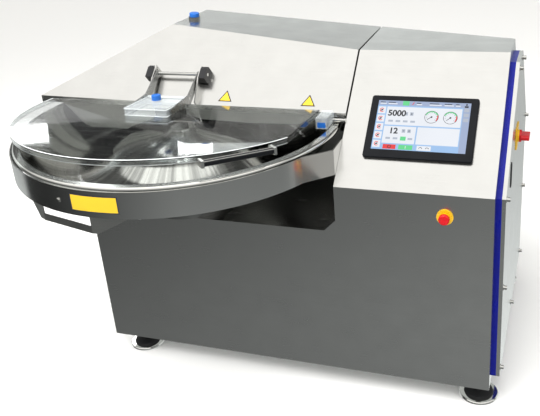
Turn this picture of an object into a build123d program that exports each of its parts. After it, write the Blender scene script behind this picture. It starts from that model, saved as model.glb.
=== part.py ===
from build123d import *
import os
from math import atan2, cos, degrees, hypot, radians, sin, sqrt

# Bowl cutter for meat: a round bowl turns under a hood in which sickle knives spin on a cross shaft.
# Millimetres.  While it is laid out, x = 0 is the console's left side (+X to the right), y = 0 is the
# front panel (+Y to the rear) and z = 0 is the floor.  save() moves the whole machine so that the
# origin lies on the floor under the middle of its overall box.

# ---- sheet metal cabinet -------------------------------------------------
SHEET = 3.0               # cabinet and hood sheet
FLOOR_GAP = 90.0          # cabinet's underside above the floor
CONSOLE_W = 580.0         # console, right of the bowl
LOW_W = 1074.0            # low cabinet, under the bowl
DEPTH = 1060.0
LEDGE_Z = 724.0           # top of the low cabinet
LEDGE_BEVEL = 46.0        # 45 degree corner between ledge and console
CREASE_Z = 910.0          # where the console's front starts to lean back
ROOF_Z = 1303.0
LEAN_Y = 451.0            # how far back the leaning panel reaches at the roof
ROOF_REAR_Y = 835.0       # rear edge of the roof beside the hood
ROOF_SIDE_Y = 650.0       # and at the console's right side
HOOD_REAR_Y = 835.0
TUBE = 60.0               # base frame's square tube
TUBE_WALL = 4.0
SIDE_FRAME = 74.0         # rim left round the console's side opening

# ---- feet -----------------------------------------------------------------
FOOT_R = 76.0
FOOT_H = 12.0
FOOT_EDGE = 3.0
BOOT_R = 58.0
BOOT_H = 20.0
BOOT_EDGE = 4.0
BOOT_NECK = 12.0
STUD_R = 12.0
FOOT_NUT_R = 20.4
FOOT_NUT_T = 18.0
FOOT_X = 100.0            # foot centre from the low cabinet's left side
FOOT_X_RIGHT = 48.0       # foot centre from the console's right side
FOOT_Y = 88.0             # foot centre from the front and rear panels

# ---- side cover -----------------------------------------------------------
GASKET_T = 20.0
GASKET_W = 26.0
COVER_INSET = 42.0        # cover and gasket lie inside the console's outline
COVER_RISE = 14.0         # depth of the cover's turned edge
SCREW_R = 8.0
SCREW_H = 13.0
SCREW_INSET = 26.0
SCREW_PITCH = 400.0
SOCKET_R = 5.0
WASHER_R = 12.0
WASHER_T = 2.0
GRIP_Y = 217.0            # oval grip plate on the cover
GRIP_Z = 908.0
GRIP_L = 100.0
GRIP_W = 34.0
GRIP_T = 3.0
GRIP_RIM = 6.0

# ---- rear cover with louvres ----------------------------------------------
REAR_LEFT = -880.0        # cover's left edge
REAR_W = 620.0
REAR_LOW = 210.0
REAR_H = 420.0
REAR_LAP = 40.0           # how far it overlaps its opening
REAR_SCREW_PITCH = 300.0
LOUVRE_W = 110.0
LOUVRE_H = 22.0
LOUVRE_D = 10.0
LOUVRE_COLUMNS = 3
LOUVRE_ROWS = 6
LOUVRE_PITCH_X = 150.0
LOUVRE_PITCH_Z = 44.0

# ---- main isolator --------------------------------------------------------
ISO_Y = 440.0
ISO_Z = 976.0
ISO_PLATE = 90.0
ISO_PLATE_T = 5.0
ISO_CORNER = 8.0
ISO_DISC_T = 8.0
ISO_SEAT_R = 24.0
ISO_SEAT_H = 6.0
ISO_PIN_R = 5.0
ISO_BAR_L = 66.0
ISO_BAR_W = 20.0
ISO_BAR_H = 38.0

# ---- operator panel -------------------------------------------------------
HMI_X = 290.0             # middle of the panel
HMI_S = 256.0             # its middle, measured up the leaning panel from the crease
HMI_W = 400.0
HMI_H = 262.0
HMI_T = 14.0
HMI_CORNER = 10.0
SCREEN_W = 344.0
SCREEN_H = 206.0
SCREEN_UP = 6.0           # the screen's middle above the bezel's
SCREEN_T = 3.0
SCREEN_SINK = 1.0

# ---- emergency stop -------------------------------------------------------
STOP_X = 409.0
STOP_Z = 825.0
STOP_RING_R = 30.0
STOP_RING_T = 4.0
STOP_COLLAR_R = 16.0
STOP_COLLAR_L = 10.0
STOP_STEM_R = 11.0
STOP_HEAD_R = 20.0
STOP_HEAD_L = 16.0
STOP_TRAVEL = 4.0
STOP_COLLAR_IN = 14.0     # collar and stem behind the panel
STOP_STEM_IN = 4.0
STOP_PLAY = 1.0           # head to collar when pushed in
RUNNING = 0.05            # radial clearance of a shaft in its bore
PLAY = 0.3                # face clearance between pieces that turn or lift off

# ---- bowl -----------------------------------------------------------------
BOWL_Y = 163.0
RIM_W = 24.0              # flat rim outside the trough's arc
RIM_BEAD = 6.0            # rounding of the rim's outer edge
RIM_Z = 1083.6
BOWL_WALL = 8.0
TROUGH_R = 430.0          # from the bowl's axis to the lowest line of the trough
KNIFE_R = 205.0
KNIFE_GAP = 2.0           # knife tip to bowl
SHAFT_Z = 1134.0
RIM_LIP = 22.0            # depth of the rolled rim
HUB_R = 60.0
HUB_Z = 1032.0
HUB_LEAVE_R = 300.0       # where the trough runs out into the hub
BOSS_R = 110.0
BOSS_Z = 905.0            # underside of the bowl's boss
CAP_R = 54.0
CAP_H = 16.0
SPINDLE_R = 45.0
HOUSING_R = 140.0         # bowl bearing housing on the low cabinet
HOUSING_FLANGE_R = 190.0
HOUSING_FLANGE_T = 22.0
HOUSING_GAP = 8.0
HOUSING_NECK = 28.0       # the housing narrows by this at its top
HOUSING_TAPER = 60.0
SPINDLE_IN = 60.0         # spindle's length inside the boss
SPINDLE_TAIL = 80.0       # and below the ledge
SPINDLE_COLLAR = 12.0

# ---- surround band --------------------------------------------------------
BAND_GAP = 9.5            # bowl's rim to the band's outside
BAND_SIDE = 71.3          # console's side to where the band leaves the circle
BAND_START = 20.0         # angle of the band's rear end
SIDE_GAP = 0.5            # pieces laid against the console's side
BAND_T = 4.0
BAND_TOP = 1072.4
BAND_H = 98.4
BAND_FLANGE = 26.0
BAND_TURN = -25.0         # angle where the band leaves the circle for the console
BAND_DROP = 30.0          # how far the straight end dips
BAND_FOOT = 126.0         # end flange that lies on the console's side
RIB_T = 12.0
RIB_GAP = 12.0            # rib to the trough's underside
RIB_ARC = 51.6            # how far up the trough the rib follows it, degrees
RIB_SET = 62.4            # rib's top below the band's
RIB_DEPTH = 60.0          # rib's depth at the bearing housing
RIB_ANGLES = (-82.0, -127.0, -172.0, 143.0, 100.0)
RIVET_R = 9.0
RIVET_H = 4.0
RIVET_Z = 1018.0
RIVET_ANGLES = (211.0, 257.0, 345.0)

# ---- grab handle under the band -------------------------------------------
GRAB_INSET = 13.5         # strip's outside to the band's outside
GRAB_T = 5.0
GRAB_LOW = 903.0
GRAB_BAR = 26.0
GRAB_ANGLES = (238.0, 246.0, 267.0, 281.0)
GRAB_LOW_ANGLES = (243.0, 269.0)

# ---- rear tower and hood hinge --------------------------------------------
TOWER_LEFT = -1000.0
TOWER_Y = 846.0
TOWER_TOP = 1200.0
HINGE_Y = 857.0
HINGE_Z = 1285.0
HINGE_PIN_R = 10.0
HINGE_LUG_R = 18.0
HINGE_LUG_T = 14.0
HINGE_GAP = 1.0
HINGE_XS = (-250.0, -800.0)
HINGE_FOOT = 90.0         # bracket's foot on the tower
HINGE_EDGE = 30.0         # upright edge of the bracket beside the hood
HINGE_SET = 2.0
LUG_DROP = 40.0           # lug's root on the hood, below the hinge's axis

# ---- hood -----------------------------------------------------------------
HOOD_GAP = 7.0            # black gap between hood and console
HOOD_BASE_Z = 1096.0
HOOD_LIP_S = 308.0        # lip, measured up the lean from the crease
HOOD_LIP_RISE = 24.0      # the lip's left end lies further up the lean
HOOD_REACH = 1411.0       # lip's left end
CREST_LEFT_X = -868.0     # crest's left end
CREST_RISE = 117.0        # and how much further up the lean it lies
ROOF_LEFT_X = -838.0      # roof's rear left corner
HOOD_SIDE_Y = 330.0
HOOD_REAR_LEFT_X = -1100.0
REAR_SKIRT_Z = 1215.0     # the hood is open at the rear below this
ARM_SLOT_Y = 476.0        # the hood's right wall is open behind this, over the knife arm
ARM_SLOT_Z = 1245.0

# ---- baffle hanging inside the hood's lip ---------------------------------
# Lower edges as (distance along the lip, outward from the trough's lowest line, depth below the shaft).
BAFFLE_T = 3.0
BAFFLE_LEFT = (
    (198.0, 38.0), (160.0, 72.0), (103.0, 134.0), (68.0, 146.0),
    (-112.0, 146.0), (-167.0, 120.0), (-222.0, 102.0), (-260.0, 82.0),
)
BAFFLE_RIGHT = ((-448.0, 64.0), (-386.0, 82.0), (-168.0, 88.0), (42.0, 82.0), (132.0, 38.0))

# ---- knife arm and knives -------------------------------------------------
ARM_END_X = -560.0
ARM_W = 130.0
ARM_LOW = 44.0            # arm's flat underside below the shaft
ARM_TOP = 70.0
ARM_FLANGE_R = 102.0
ARM_FLANGE_T = 20.0
NOSE_R = 43.0
NOSE_L = 66.0
SHAFT_R = 25.0
SHAFT_TAIL_X = 300.0      # shaft's end inside the console
PULLEY_R = 90.0
PULLEY_W = 90.0
PULLEY_SET = 20.0         # pulley inside the shaft's end
PULLEY_GROOVES = 5
GROOVE_DEPTH = 9.0
GROOVE_HALF_TOP = 5.0
GROOVE_HALF_ROOT = 2.0
BEARING_R = 62.0
KNIFE_COUNT = 6
KNIFE_T = 6.0
KNIFE_STEP = 60.0         # degrees from one pair of knives to the next
EDGE_START = 105.0        # turns of the cutting edge: at the hub, its middle and its tip
EDGE_MID = 62.0
EDGE_TIP = 8.0
EDGE_MID_SHARE = 0.72     # of the knife's radius
TIP_NOTCH = 14.0
BACK_TIP = -1.0           # turns of the knife's back, from tip to hub
BACK_MID = 22.0
BACK_END = -15.0
BACK_MID_SHARE = 0.55
SPACER_T = 7.0
SPACER_R = 50.0
NUT_R = 42.0
NUT_T = 26.0
THREAD_STANDS = 8.0       # shaft's thread beyond the nut

# ---- lid ------------------------------------------------------------------
LID_INSET = 13.0          # lid's edge inside the bowl's rim
LID_T = 5.0
LID_Z = 1116.0            # underside of the sheet, before the lid is tipped
LID_RIM = 15.0
LID_TIP = 4.3             # degrees that the resting lid is tipped up at the front
LID_REAR_Y = 222.0
LID_RIGHT_X = -106.0      # right end, cut short for the lid switch
LID_AXIS_S = 448.0        # hinge axis up the lean, and above the hood's sheet
LID_AXIS_N = 24.0
BAR_R = 7.0
BAR_HALF = 103.0          # stands to the middle of the hatch
STAND_T = 6.0
ARM_T = 6.0
BLOCK_W = 28.0
BLOCK_L = 62.0
BLOCK_H = 46.0
STAND_LENGTH = 138.0
STAND_IN = 10.0
STAND_SHY = 4.0           # stand lower than its block
STAND_TOE = 14.0
STAND_PLAY = 1.0          # around the bar
BLOCK_CUT = 6.0           # lower corner
BLOCK_SLOPE_L = 14.0      # upper corner
BLOCK_SLOPE_H = 12.0
STAND_SCREW_R = 6.0
STAND_SCREW_H = 3.0
STAND_SCREW_S = 22.0      # either side of the hinge axis
ARM_GAP = 0.5             # arm to the hatch frame
ARM_EYE_HALF = 12.0       # arm around the bar: half length, and reach below and above it
ARM_EYE_LOW = 8.0
ARM_EYE_HIGH = 10.0
ARM_BROW_S = 4.0
ARM_BROW_H = 13.0
ARM_BEND_S = 8.0          # arm's bend from the hatch rod
ARM_BEND_H = 14.0
ARM_TOE = 20.0
ARM_HEEL = 2.0
HATCH_LEFT = 76.0         # middle of the hatch, left of the bowl's axis
HATCH_W = 186.0
HATCH_FRONT = 30.0
HATCH_REAR = 206.0
HATCH_H = 22.0
HATCH_WALL = 9.0
COVER_T = 8.0
COVER_LIP = 4.0
ROD_R = 5.0
ROD_SET = 4.0             # rod behind the hatch frame
KNUCKLE_T = 3.0           # cover's wall around the rod
KNOB_R = 19.0
KNOB_H = 22.0
KNOB_EDGE = 4.0
KNOB_LEFT = 20.0          # knob's place from the hatch's middle and rear edge
KNOB_SET = 48.0
GRIP_ANGLES = (-57.0, -35.0)
GRIP_OUT = 42.0           # grip's centre line outside the lid's edge
GRIP_DROP = 12.0
GRIP_TUBE_W = 20.0
GRIP_TUBE_H = 18.0
GRIP_CORNER = 6.0
GROOVE_PITCH = 12.0       # grooves across the grip's top
GROOVE_W = 5.0
GROOVE_T = 1.5
GRIP_PLAIN = 60.0         # plain length, both ends together
BRACKET_T = 10.0
BRACKET_IN = 8.0
BRACKET_OVER = 3.0        # bracket above and below the grip

# ---- lid switch on the console's side -------------------------------------
ROD_Y = 205.0
ROD_Z = 1094.0
SWITCH_ROD_R = 8.0
SWITCH_ROD_L = 50.0
SWITCH_W = 44.0
SWITCH_D = 92.0
SWITCH_H = 42.0
SWITCH_GAP = 2.5          # above the bowl's rim
SWITCH_STAND = 3.0        # block behind the rod
POCKET_WALL = 6.0
POCKET_FLOOR = 4.0
POCKET_SHARE = 0.6        # of the block's height

# ---- port on the hood's roof ----------------------------------------------
PORT_X = -820.0
PORT_Y = 655.0
PORT_R = 26.0
PORT_H = 12.0
PORT_STEM_R = 9.0
PORT_CAP_R = 22.0
PORT_CAP_H = 17.0
PORT_CAP_EDGE = 4.0
PORT_FLOOR = 1.0

# ---- supply gland on the rear panel ---------------------------------------
GLAND_X = 430.0
GLAND_Z = 210.0
GLAND_R = 24.0
GLAND_BORE_R = 13.0
GLAND_L = 34.0
GLAND_HEX_SHARE = 0.45    # of the gland's length and radius
GLAND_NECK_SHARE = 0.8

# ---- worked out from the above --------------------------------------------
LEAN_RISE = ROOF_Z - CREASE_Z
LEAN = hypot(LEAN_Y, LEAN_RISE)
UP_Y = LEAN_Y / LEAN
UP_Z = LEAN_RISE / LEAN
TROUGH_ARC_R = KNIFE_R + KNIFE_GAP
SHAFT_Y = BOWL_Y + TROUGH_R
SIDE_X = CONSOLE_W + GASKET_T + COVER_RISE
ISO_TOP = SIDE_X + ISO_PLATE_T + ISO_SEAT_H + ISO_BAR_H
RIM_R = TROUGH_R + TROUGH_ARC_R + RIM_W
BAND_R = RIM_R + BAND_GAP
BOWL_X = -BAND_SIDE - BAND_R * cos(radians(BAND_TURN))
GRAB_R = BAND_R - GRAB_INSET
LID_R = RIM_R - LID_INSET
HATCH_X = BOWL_X - HATCH_LEFT
BAR_LEFT = HATCH_X - BAR_HALF
BAR_RIGHT = HATCH_X + BAR_HALF
MID_X = (ISO_TOP - HOOD_REACH) / 2
MID_Y = (DEPTH + GLAND_L + BOWL_Y - BAND_R) / 2
BAND_LOW = BAND_TOP - BAND_H
# ---- end of dimensions ----------------------------------------------------


def save(node, shape):
    """Write one sub-part, moved to the machine's own origin."""
    shape = shape.moved(Location((-MID_X, -MID_Y, 0)))
    shape.label = node
    export_step(shape, f"parts/{node}.step")


def group(shapes):
    """Several separate solids that share one sub-part."""
    return Compound([solid for shape in shapes for solid in shape.solids()])


def block(x0, x1, y0, y1, z0, z1):
    """Box between two corners."""
    middle = Pos((x0 + x1) / 2, (y0 + y1) / 2, (z0 + z1) / 2)
    return middle * Box(x1 - x0, y1 - y0, z1 - z0)


def outline(points):
    return make_face(Polyline(*points, close=True))


def along_x(face, x0, x1):
    """Extrude a face drawn in (y, z) from x0 to x1."""
    return extrude(Plane.YZ.offset(x0) * face, amount=x1 - x0)


def along_y(face, y0, y1):
    """Extrude a face drawn in (x, z) from y0 to y1."""
    return extrude(Plane.XZ.offset(-y0) * face, amount=y0 - y1)


def along_z(face, z0, z1):
    """Extrude a face drawn in (x, y) from z0 to z1."""
    return extrude(Plane.XY.offset(z0) * face, amount=z1 - z0)


def turned(points, x, y):
    """Revolve (radius, z) points about the upright axis through x, y."""
    return Pos(x, y, 0) * revolve(Plane.XZ * outline(points), Axis.Z)


def rod_x(radius, x0, x1, y, z):
    return along_x(Pos(y, z) * Circle(radius), x0, x1)


def rod_y(radius, y0, y1, x, z):
    return along_y(Pos(x, z) * Circle(radius), y0, y1)


def rod_z(radius, z0, z1, x, y):
    return along_z(Pos(x, y) * Circle(radius), z0, z1)


def below(shape, point, normal):
    """Keep what lies on the far side of a plane from its normal."""
    return split(shape, bisect_by=Plane(origin=point, z_dir=normal), keep=Keep.BOTTOM)


def lean(x, s, n=0.0):
    """Point on the leaning panel: s up it from the crease and n above its face."""
    return Vector(x, s * UP_Y - n * UP_Z, CREASE_Z + s * UP_Z + n * UP_Y)


def lean_plane(x, s, n=0.0):
    """Plane on the leaning panel, its own x along X and its y up the lean."""
    return Plane(origin=lean(x, s, n), x_dir=(1, 0, 0), z_dir=(0, -UP_Z, UP_Y))


LID_AXIS = lean(0, LID_AXIS_S, LID_AXIS_N)


def tipped(shape):
    """Tip a piece of the lid up at the front, about the lid's hinge."""
    axis = Axis((0, LID_AXIS.Y, LID_AXIS.Z), (1, 0, 0))
    return shape.rotate(axis, -LID_TIP)


def on_circle(radius, angle):
    """Point in plan at an angle round the bowl's axis."""
    return (BOWL_X + radius * cos(radians(angle)), BOWL_Y + radius * sin(radians(angle)))


# ---- cabinet ---------------------------------------------------------------
def console_outline(inset=0.0):
    """The console's right side."""
    points = [
        (0, FLOOR_GAP),
        (0, CREASE_Z),
        (LEAN_Y, ROOF_Z),
        (ROOF_SIDE_Y, ROOF_Z),
        (DEPTH, ROOF_Z - (DEPTH - ROOF_SIDE_Y)),
        (DEPTH, FLOOR_GAP),
    ]
    face = outline(points)
    return offset(face, -inset, kind=Kind.INTERSECTION) if inset else face


def console_block(inset=0.0):
    """The console as a solid, its faces moved in by inset; the rear slope's top edge runs askew."""
    points = [(0, FLOOR_GAP), (0, CREASE_Z), (LEAN_Y, ROOF_Z), (DEPTH, ROOF_Z), (DEPTH, FLOOR_GAP)]
    face = outline(points)
    if inset:
        face = offset(face, -inset, kind=Kind.INTERSECTION)
    body = along_x(face, inset, CONSOLE_W - inset)
    normal = Vector(ROOF_REAR_Y - ROOF_SIDE_Y, CONSOLE_W, CONSOLE_W).normalized()
    return below(body, Vector(0, ROOF_REAR_Y, ROOF_Z) - normal * inset, normal)


def cabinet_shell():
    low = block(-LOW_W, 0, 0, DEPTH, FLOOR_GAP, LEDGE_Z)
    bevel = outline([(-LEDGE_BEVEL, LEDGE_Z), (0, LEDGE_Z), (0, LEDGE_Z + LEDGE_BEVEL)])
    solid = low + console_block() + along_y(bevel, 0, TOWER_Y)
    inside = console_block(SHEET)
    inside += block(
        SHEET - LOW_W, 2 * SHEET, SHEET, DEPTH - SHEET, FLOOR_GAP + SHEET, LEDGE_Z - SHEET
    )
    inside += along_x(console_outline(SIDE_FRAME), CONSOLE_W - 2 * SHEET, CONSOLE_W + 1)
    shell = solid - inside
    shell -= rod_x(ARM_FLANGE_R - 20, -1, 2 * SHEET, SHAFT_Y, SHAFT_Z)
    shell -= rod_z(SPINDLE_R + 6, LEDGE_Z - 2 * SHEET, LEDGE_Z + 1, BOWL_X, BOWL_Y)
    shell -= rod_y(STOP_COLLAR_R, -1, 2 * SHEET, STOP_X, STOP_Z)
    shell -= rod_y(GLAND_BORE_R, DEPTH - 2 * SHEET, DEPTH + 1, GLAND_X, GLAND_Z)
    return shell - along_y(rear_outline(-REAR_LAP), DEPTH - 2 * SHEET, DEPTH + 1)


def tube_section():
    return Rectangle(TUBE, TUBE) - Rectangle(TUBE - 2 * TUBE_WALL, TUBE - 2 * TUBE_WALL)


def square_tube_x(x0, x1, y, z):
    return along_x(Pos(y, z) * tube_section(), x0, x1)


def square_tube_y(x, y0, y1, z):
    return along_y(Pos(x, z) * tube_section(), y0, y1)


def foot_places():
    return [
        (x, y)
        for x in (FOOT_X - LOW_W, CONSOLE_W - FOOT_X_RIGHT)
        for y in (FOOT_Y, DEPTH - FOOT_Y)
    ]


def base_frame():
    """Welded ring of square tube inside the cabinet's floor, with a cross tube under the bowl."""
    z = FLOOR_GAP + SHEET + TUBE / 2
    left = SHEET - LOW_W + 1
    right = CONSOLE_W - SHEET - 1
    front = SHEET + 1
    rear = DEPTH - SHEET - 1
    half = TUBE / 2
    frame = square_tube_x(left, right, front + half, z) + square_tube_x(left, right, rear - half, z)
    for x in (left + half, BOWL_X, -half, right - half):
        frame += square_tube_y(x, front + TUBE, rear - TUBE, z)
    return frame


def foot_bases():
    flat = FOOT_R - FOOT_EDGE
    points = [(0, 0), (flat, 0), (FOOT_R, FOOT_EDGE), (FOOT_R, FOOT_H - FOOT_EDGE)]
    points += [(flat, FOOT_H), (0, FOOT_H)]
    return group([turned(points, x, y) for x, y in foot_places()])


def foot_boots():
    top = FOOT_H + BOOT_H
    points = [(STUD_R, FOOT_H), (BOOT_R, FOOT_H), (BOOT_R - BOOT_EDGE, FOOT_H + BOOT_H / 2)]
    points += [(STUD_R + BOOT_NECK, top), (STUD_R, top)]
    return group([turned(points, x, y) for x, y in foot_places()])


def foot_studs():
    studs = []
    for x, y in foot_places():
        stud = rod_z(STUD_R, FOOT_H, FLOOR_GAP, x, y)
        nut = Plane((x, y, FLOOR_GAP - FOOT_NUT_T)) * RegularPolygon(FOOT_NUT_R, 6)
        stud += extrude(nut, FOOT_NUT_T)
        studs.append(stud)
    return group(studs)


# ---- console's side --------------------------------------------------------
def side_gasket():
    face = console_outline(COVER_INSET) - console_outline(COVER_INSET + GASKET_W)
    return along_x(face, CONSOLE_W, CONSOLE_W + GASKET_T)


def side_cover():
    """Flat cover with its edge turned in against the gasket."""
    x0 = CONSOLE_W + GASKET_T
    pan = along_x(console_outline(COVER_INSET), x0, SIDE_X)
    return pan - along_x(console_outline(COVER_INSET + SHEET), x0 - 1, SIDE_X - SHEET)


def along_edges(face, pitch):
    """Places at a flat outline's corners and evenly between them."""
    places = []
    for edge in face.face().outer_wire().edges():
        count = max(1, round(edge.length / pitch))
        places += [edge.position_at(i / count) for i in range(count)]
    return [(p.X, p.Y) for p in places]


def cap_screw():
    """Cap screw on its washer, standing up at the origin."""
    head = rod_z(WASHER_R, 0, WASHER_T, 0, 0) + rod_z(SCREW_R, 0, SCREW_H, 0, 0)
    return head - along_z(RegularPolygon(SOCKET_R, 6), SCREW_H / 2, SCREW_H + 1)


def side_screws():
    """Cap screws round the cover."""
    places = along_edges(console_outline(COVER_INSET + SCREW_INSET), SCREW_PITCH)
    planes = [Plane(origin=(SIDE_X, y, z), x_dir=(0, 1, 0), z_dir=(1, 0, 0)) for y, z in places]
    return group([plane.location * cap_screw() for plane in planes])


def side_grip():
    """Black oval grip plate with a finger recess, on the cover."""
    face = SlotOverall(GRIP_L, GRIP_W, rotation=90)
    dish = SlotOverall(GRIP_L - 2 * GRIP_RIM, GRIP_W - 2 * GRIP_RIM, rotation=90)
    plate = along_x(Pos(GRIP_Y, GRIP_Z) * face, SIDE_X, SIDE_X + GRIP_T)
    return plate - along_x(Pos(GRIP_Y, GRIP_Z) * dish, SIDE_X + GRIP_T / 3, SIDE_X + 2 * GRIP_T)


# ---- rear cover ------------------------------------------------------------
def rear_outline(grow=0.0):
    """The rear cover in (x, z), larger or smaller by grow."""
    middle = Pos(REAR_LEFT + REAR_W / 2, REAR_LOW + REAR_H / 2)
    return middle * Rectangle(REAR_W + 2 * grow, REAR_H + 2 * grow)


def louvre():
    """Pressed louvre, open below and into the cabinet; its back lies in the cover's outer face."""
    wedge = outline([(0, 0), (LOUVRE_D, 0), (0, LOUVRE_H)])
    inner = outline([
        (-2 * SHEET, -1), (LOUVRE_D - SHEET, -1), (0, LOUVRE_H - 2 * SHEET), (-2 * SHEET, LOUVRE_H - 2 * SHEET),
    ])
    half = LOUVRE_W / 2
    return along_x(wedge, -half, half), along_x(inner, SHEET - half, half - SHEET)


def rear_cover():
    """Flat cover over the drive's opening, with rows of louvres."""
    cover = along_y(rear_outline(), DEPTH, DEPTH + SHEET)
    wedge, inner = louvre()
    for i in range(LOUVRE_COLUMNS):
        for j in range(LOUVRE_ROWS):
            x = REAR_LEFT + REAR_W / 2 + (i - (LOUVRE_COLUMNS - 1) / 2) * LOUVRE_PITCH_X
            z = REAR_LOW + REAR_H / 2 + (j - (LOUVRE_ROWS - 1) / 2) * LOUVRE_PITCH_Z
            place = Pos(x, DEPTH + SHEET, z - LOUVRE_H / 2)
            cover = cover + place * wedge - place * inner
    return cover


def rear_screws():
    """Cap screws round the rear cover."""
    places = along_edges(rear_outline(-REAR_LAP / 2), REAR_SCREW_PITCH)
    planes = [Plane(origin=(x, DEPTH + SHEET, z), x_dir=(-1, 0, 0), z_dir=(0, 1, 0)) for x, z in places]
    return group([plane.location * cap_screw() for plane in planes])


# ---- main isolator ---------------------------------------------------------
def isolator_plate():
    """Square yellow plate with the round seat that the handle turns on."""
    square = Pos(ISO_Y, ISO_Z) * RectangleRounded(ISO_PLATE, ISO_PLATE, ISO_CORNER)
    plate = along_x(square, SIDE_X, SIDE_X + ISO_PLATE_T)
    seat = rod_x(ISO_SEAT_R, SIDE_X + ISO_PLATE_T, SIDE_X + ISO_PLATE_T + ISO_SEAT_H, ISO_Y, ISO_Z)
    bore = rod_x(ISO_PIN_R + RUNNING, SIDE_X + 1, ISO_TOP, ISO_Y, ISO_Z)
    return plate + seat - bore


def isolator_handle():
    """Red bar handle; at rest it lies level, along Y."""
    x0 = SIDE_X + ISO_PLATE_T + ISO_SEAT_H + PLAY
    disc = rod_x(ISO_SEAT_R, x0, x0 + ISO_DISC_T, ISO_Y, ISO_Z)
    bar = along_x(Pos(ISO_Y, ISO_Z) * SlotOverall(ISO_BAR_L, ISO_BAR_W), x0 + ISO_DISC_T, ISO_TOP)
    pin = rod_x(ISO_PIN_R, SIDE_X + 2, x0 + 1, ISO_Y, ISO_Z)
    return disc + bar + pin


# ---- operator panel and emergency stop ------------------------------------
def hmi_bezel():
    plane = lean_plane(HMI_X, HMI_S)
    body = extrude(plane * RectangleRounded(HMI_W, HMI_H, HMI_CORNER), HMI_T)
    body = chamfer(body.faces().sort_by(Axis(plane.origin, plane.z_dir))[-1].edges(), 3)
    pocket = lean_plane(HMI_X, HMI_S + SCREEN_UP, HMI_T - SCREEN_SINK - SCREEN_T)
    return body - extrude(pocket * Rectangle(SCREEN_W, SCREEN_H), HMI_T)


def hmi_screen():
    plane = lean_plane(HMI_X, HMI_S + SCREEN_UP, HMI_T - SCREEN_SINK - SCREEN_T)
    return extrude(plane * Rectangle(SCREEN_W, SCREEN_H), SCREEN_T)


def estop_ring():
    """Yellow disc on the panel, and the collar that guides the button through it."""
    disc = rod_y(STOP_RING_R, -STOP_RING_T, 0, STOP_X, STOP_Z)
    rear = SHEET + STOP_COLLAR_IN
    collar = rod_y(STOP_COLLAR_R, -STOP_COLLAR_L, rear, STOP_X, STOP_Z)
    return disc + collar - rod_y(STOP_STEM_R + RUNNING, -STOP_COLLAR_L - 1, rear + 1, STOP_X, STOP_Z)


def estop_button():
    """Mushroom head and stem; it is pushed in along +Y."""
    head_rear = -STOP_COLLAR_L - STOP_TRAVEL - STOP_PLAY
    head = rod_y(STOP_HEAD_R, head_rear - STOP_HEAD_L, head_rear, STOP_X, STOP_Z)
    front = head.faces().sort_by(Axis.Y)[0]
    head = fillet(front.edges(), STOP_HEAD_L * 0.4)
    return head + rod_y(STOP_STEM_R, head_rear - 1, SHEET + STOP_STEM_IN, STOP_X, STOP_Z)


# ---- bowl and its bearing --------------------------------------------------
def trough_height(r, radius):
    """Height of the trough's arc of a given radius, at r from the bowl's axis."""
    return SHAFT_Z - sqrt(radius ** 2 - (r - TROUGH_R) ** 2)


def trough_reach(z, radius):
    """How far out the same arc is at a height."""
    return TROUGH_R + sqrt(radius ** 2 - (SHAFT_Z - z) ** 2)


def bowl_shell():
    """Annular bowl, revolved: rolled rim, round trough, hub run-out and driving boss."""
    inner, outer = TROUGH_ARC_R, TROUGH_ARC_R + BOWL_WALL
    lip_z = RIM_Z - RIM_LIP
    rim_in = trough_reach(RIM_Z, inner)
    lip_out = trough_reach(lip_z, outer)
    leave = trough_height(HUB_LEAVE_R, inner)
    leave_out = trough_height(HUB_LEAVE_R, outer)
    low_in, low_out = SHAFT_Z - inner, SHAFT_Z - outer
    slope_in = (HUB_LEAVE_R - TROUGH_R) / sqrt(inner ** 2 - (HUB_LEAVE_R - TROUGH_R) ** 2)
    mid_r = (TROUGH_R + HUB_LEAVE_R) / 2
    mid_in, mid_out = (RIM_Z + low_in) / 2, (lip_z + low_out) / 2
    lines = [
        ThreePointArc((rim_in, RIM_Z), (trough_reach(mid_in, inner), mid_in), (TROUGH_R, low_in)),
        ThreePointArc((TROUGH_R, low_in), (mid_r, trough_height(mid_r, inner)), (HUB_LEAVE_R, leave)),
        Spline((HUB_LEAVE_R, leave), (HUB_R, HUB_Z), tangents=[(-1, -slope_in), (-1, 0.25)]),
        Line((HUB_R, HUB_Z), (0, HUB_Z)),
        Line((0, HUB_Z), (0, BOSS_Z)),
        Line((0, BOSS_Z), (BOSS_R, BOSS_Z)),
        Line((BOSS_R, BOSS_Z), (BOSS_R, leave_out + 20)),
        Line((BOSS_R, leave_out + 20), (HUB_LEAVE_R, leave_out)),
        ThreePointArc((HUB_LEAVE_R, leave_out), (mid_r, trough_height(mid_r, outer)), (TROUGH_R, low_out)),
        ThreePointArc((TROUGH_R, low_out), (trough_reach(mid_out, outer), mid_out), (lip_out, lip_z)),
        Line((lip_out, lip_z), (RIM_R - RIM_BEAD, lip_z)),
        ThreePointArc((RIM_R - RIM_BEAD, lip_z), (RIM_R, (lip_z + RIM_Z) / 2), (RIM_R - RIM_BEAD, RIM_Z)),
        Line((RIM_R - RIM_BEAD, RIM_Z), (rim_in, RIM_Z)),
    ]
    face = make_face(Curve() + lines)
    bowl = Pos(BOWL_X, BOWL_Y, 0) * revolve(Plane.XZ * face, Axis.Z)
    return bowl - rod_z(SPINDLE_R, BOSS_Z - 1, BOSS_Z + SPINDLE_IN, BOWL_X, BOWL_Y)


def bowl_cap():
    edge = 5.0
    points = [(0, HUB_Z), (CAP_R, HUB_Z), (CAP_R, HUB_Z + CAP_H - edge)]
    points += [(CAP_R - edge, HUB_Z + CAP_H), (0, HUB_Z + CAP_H)]
    return turned(points, BOWL_X, BOWL_Y)


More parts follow.
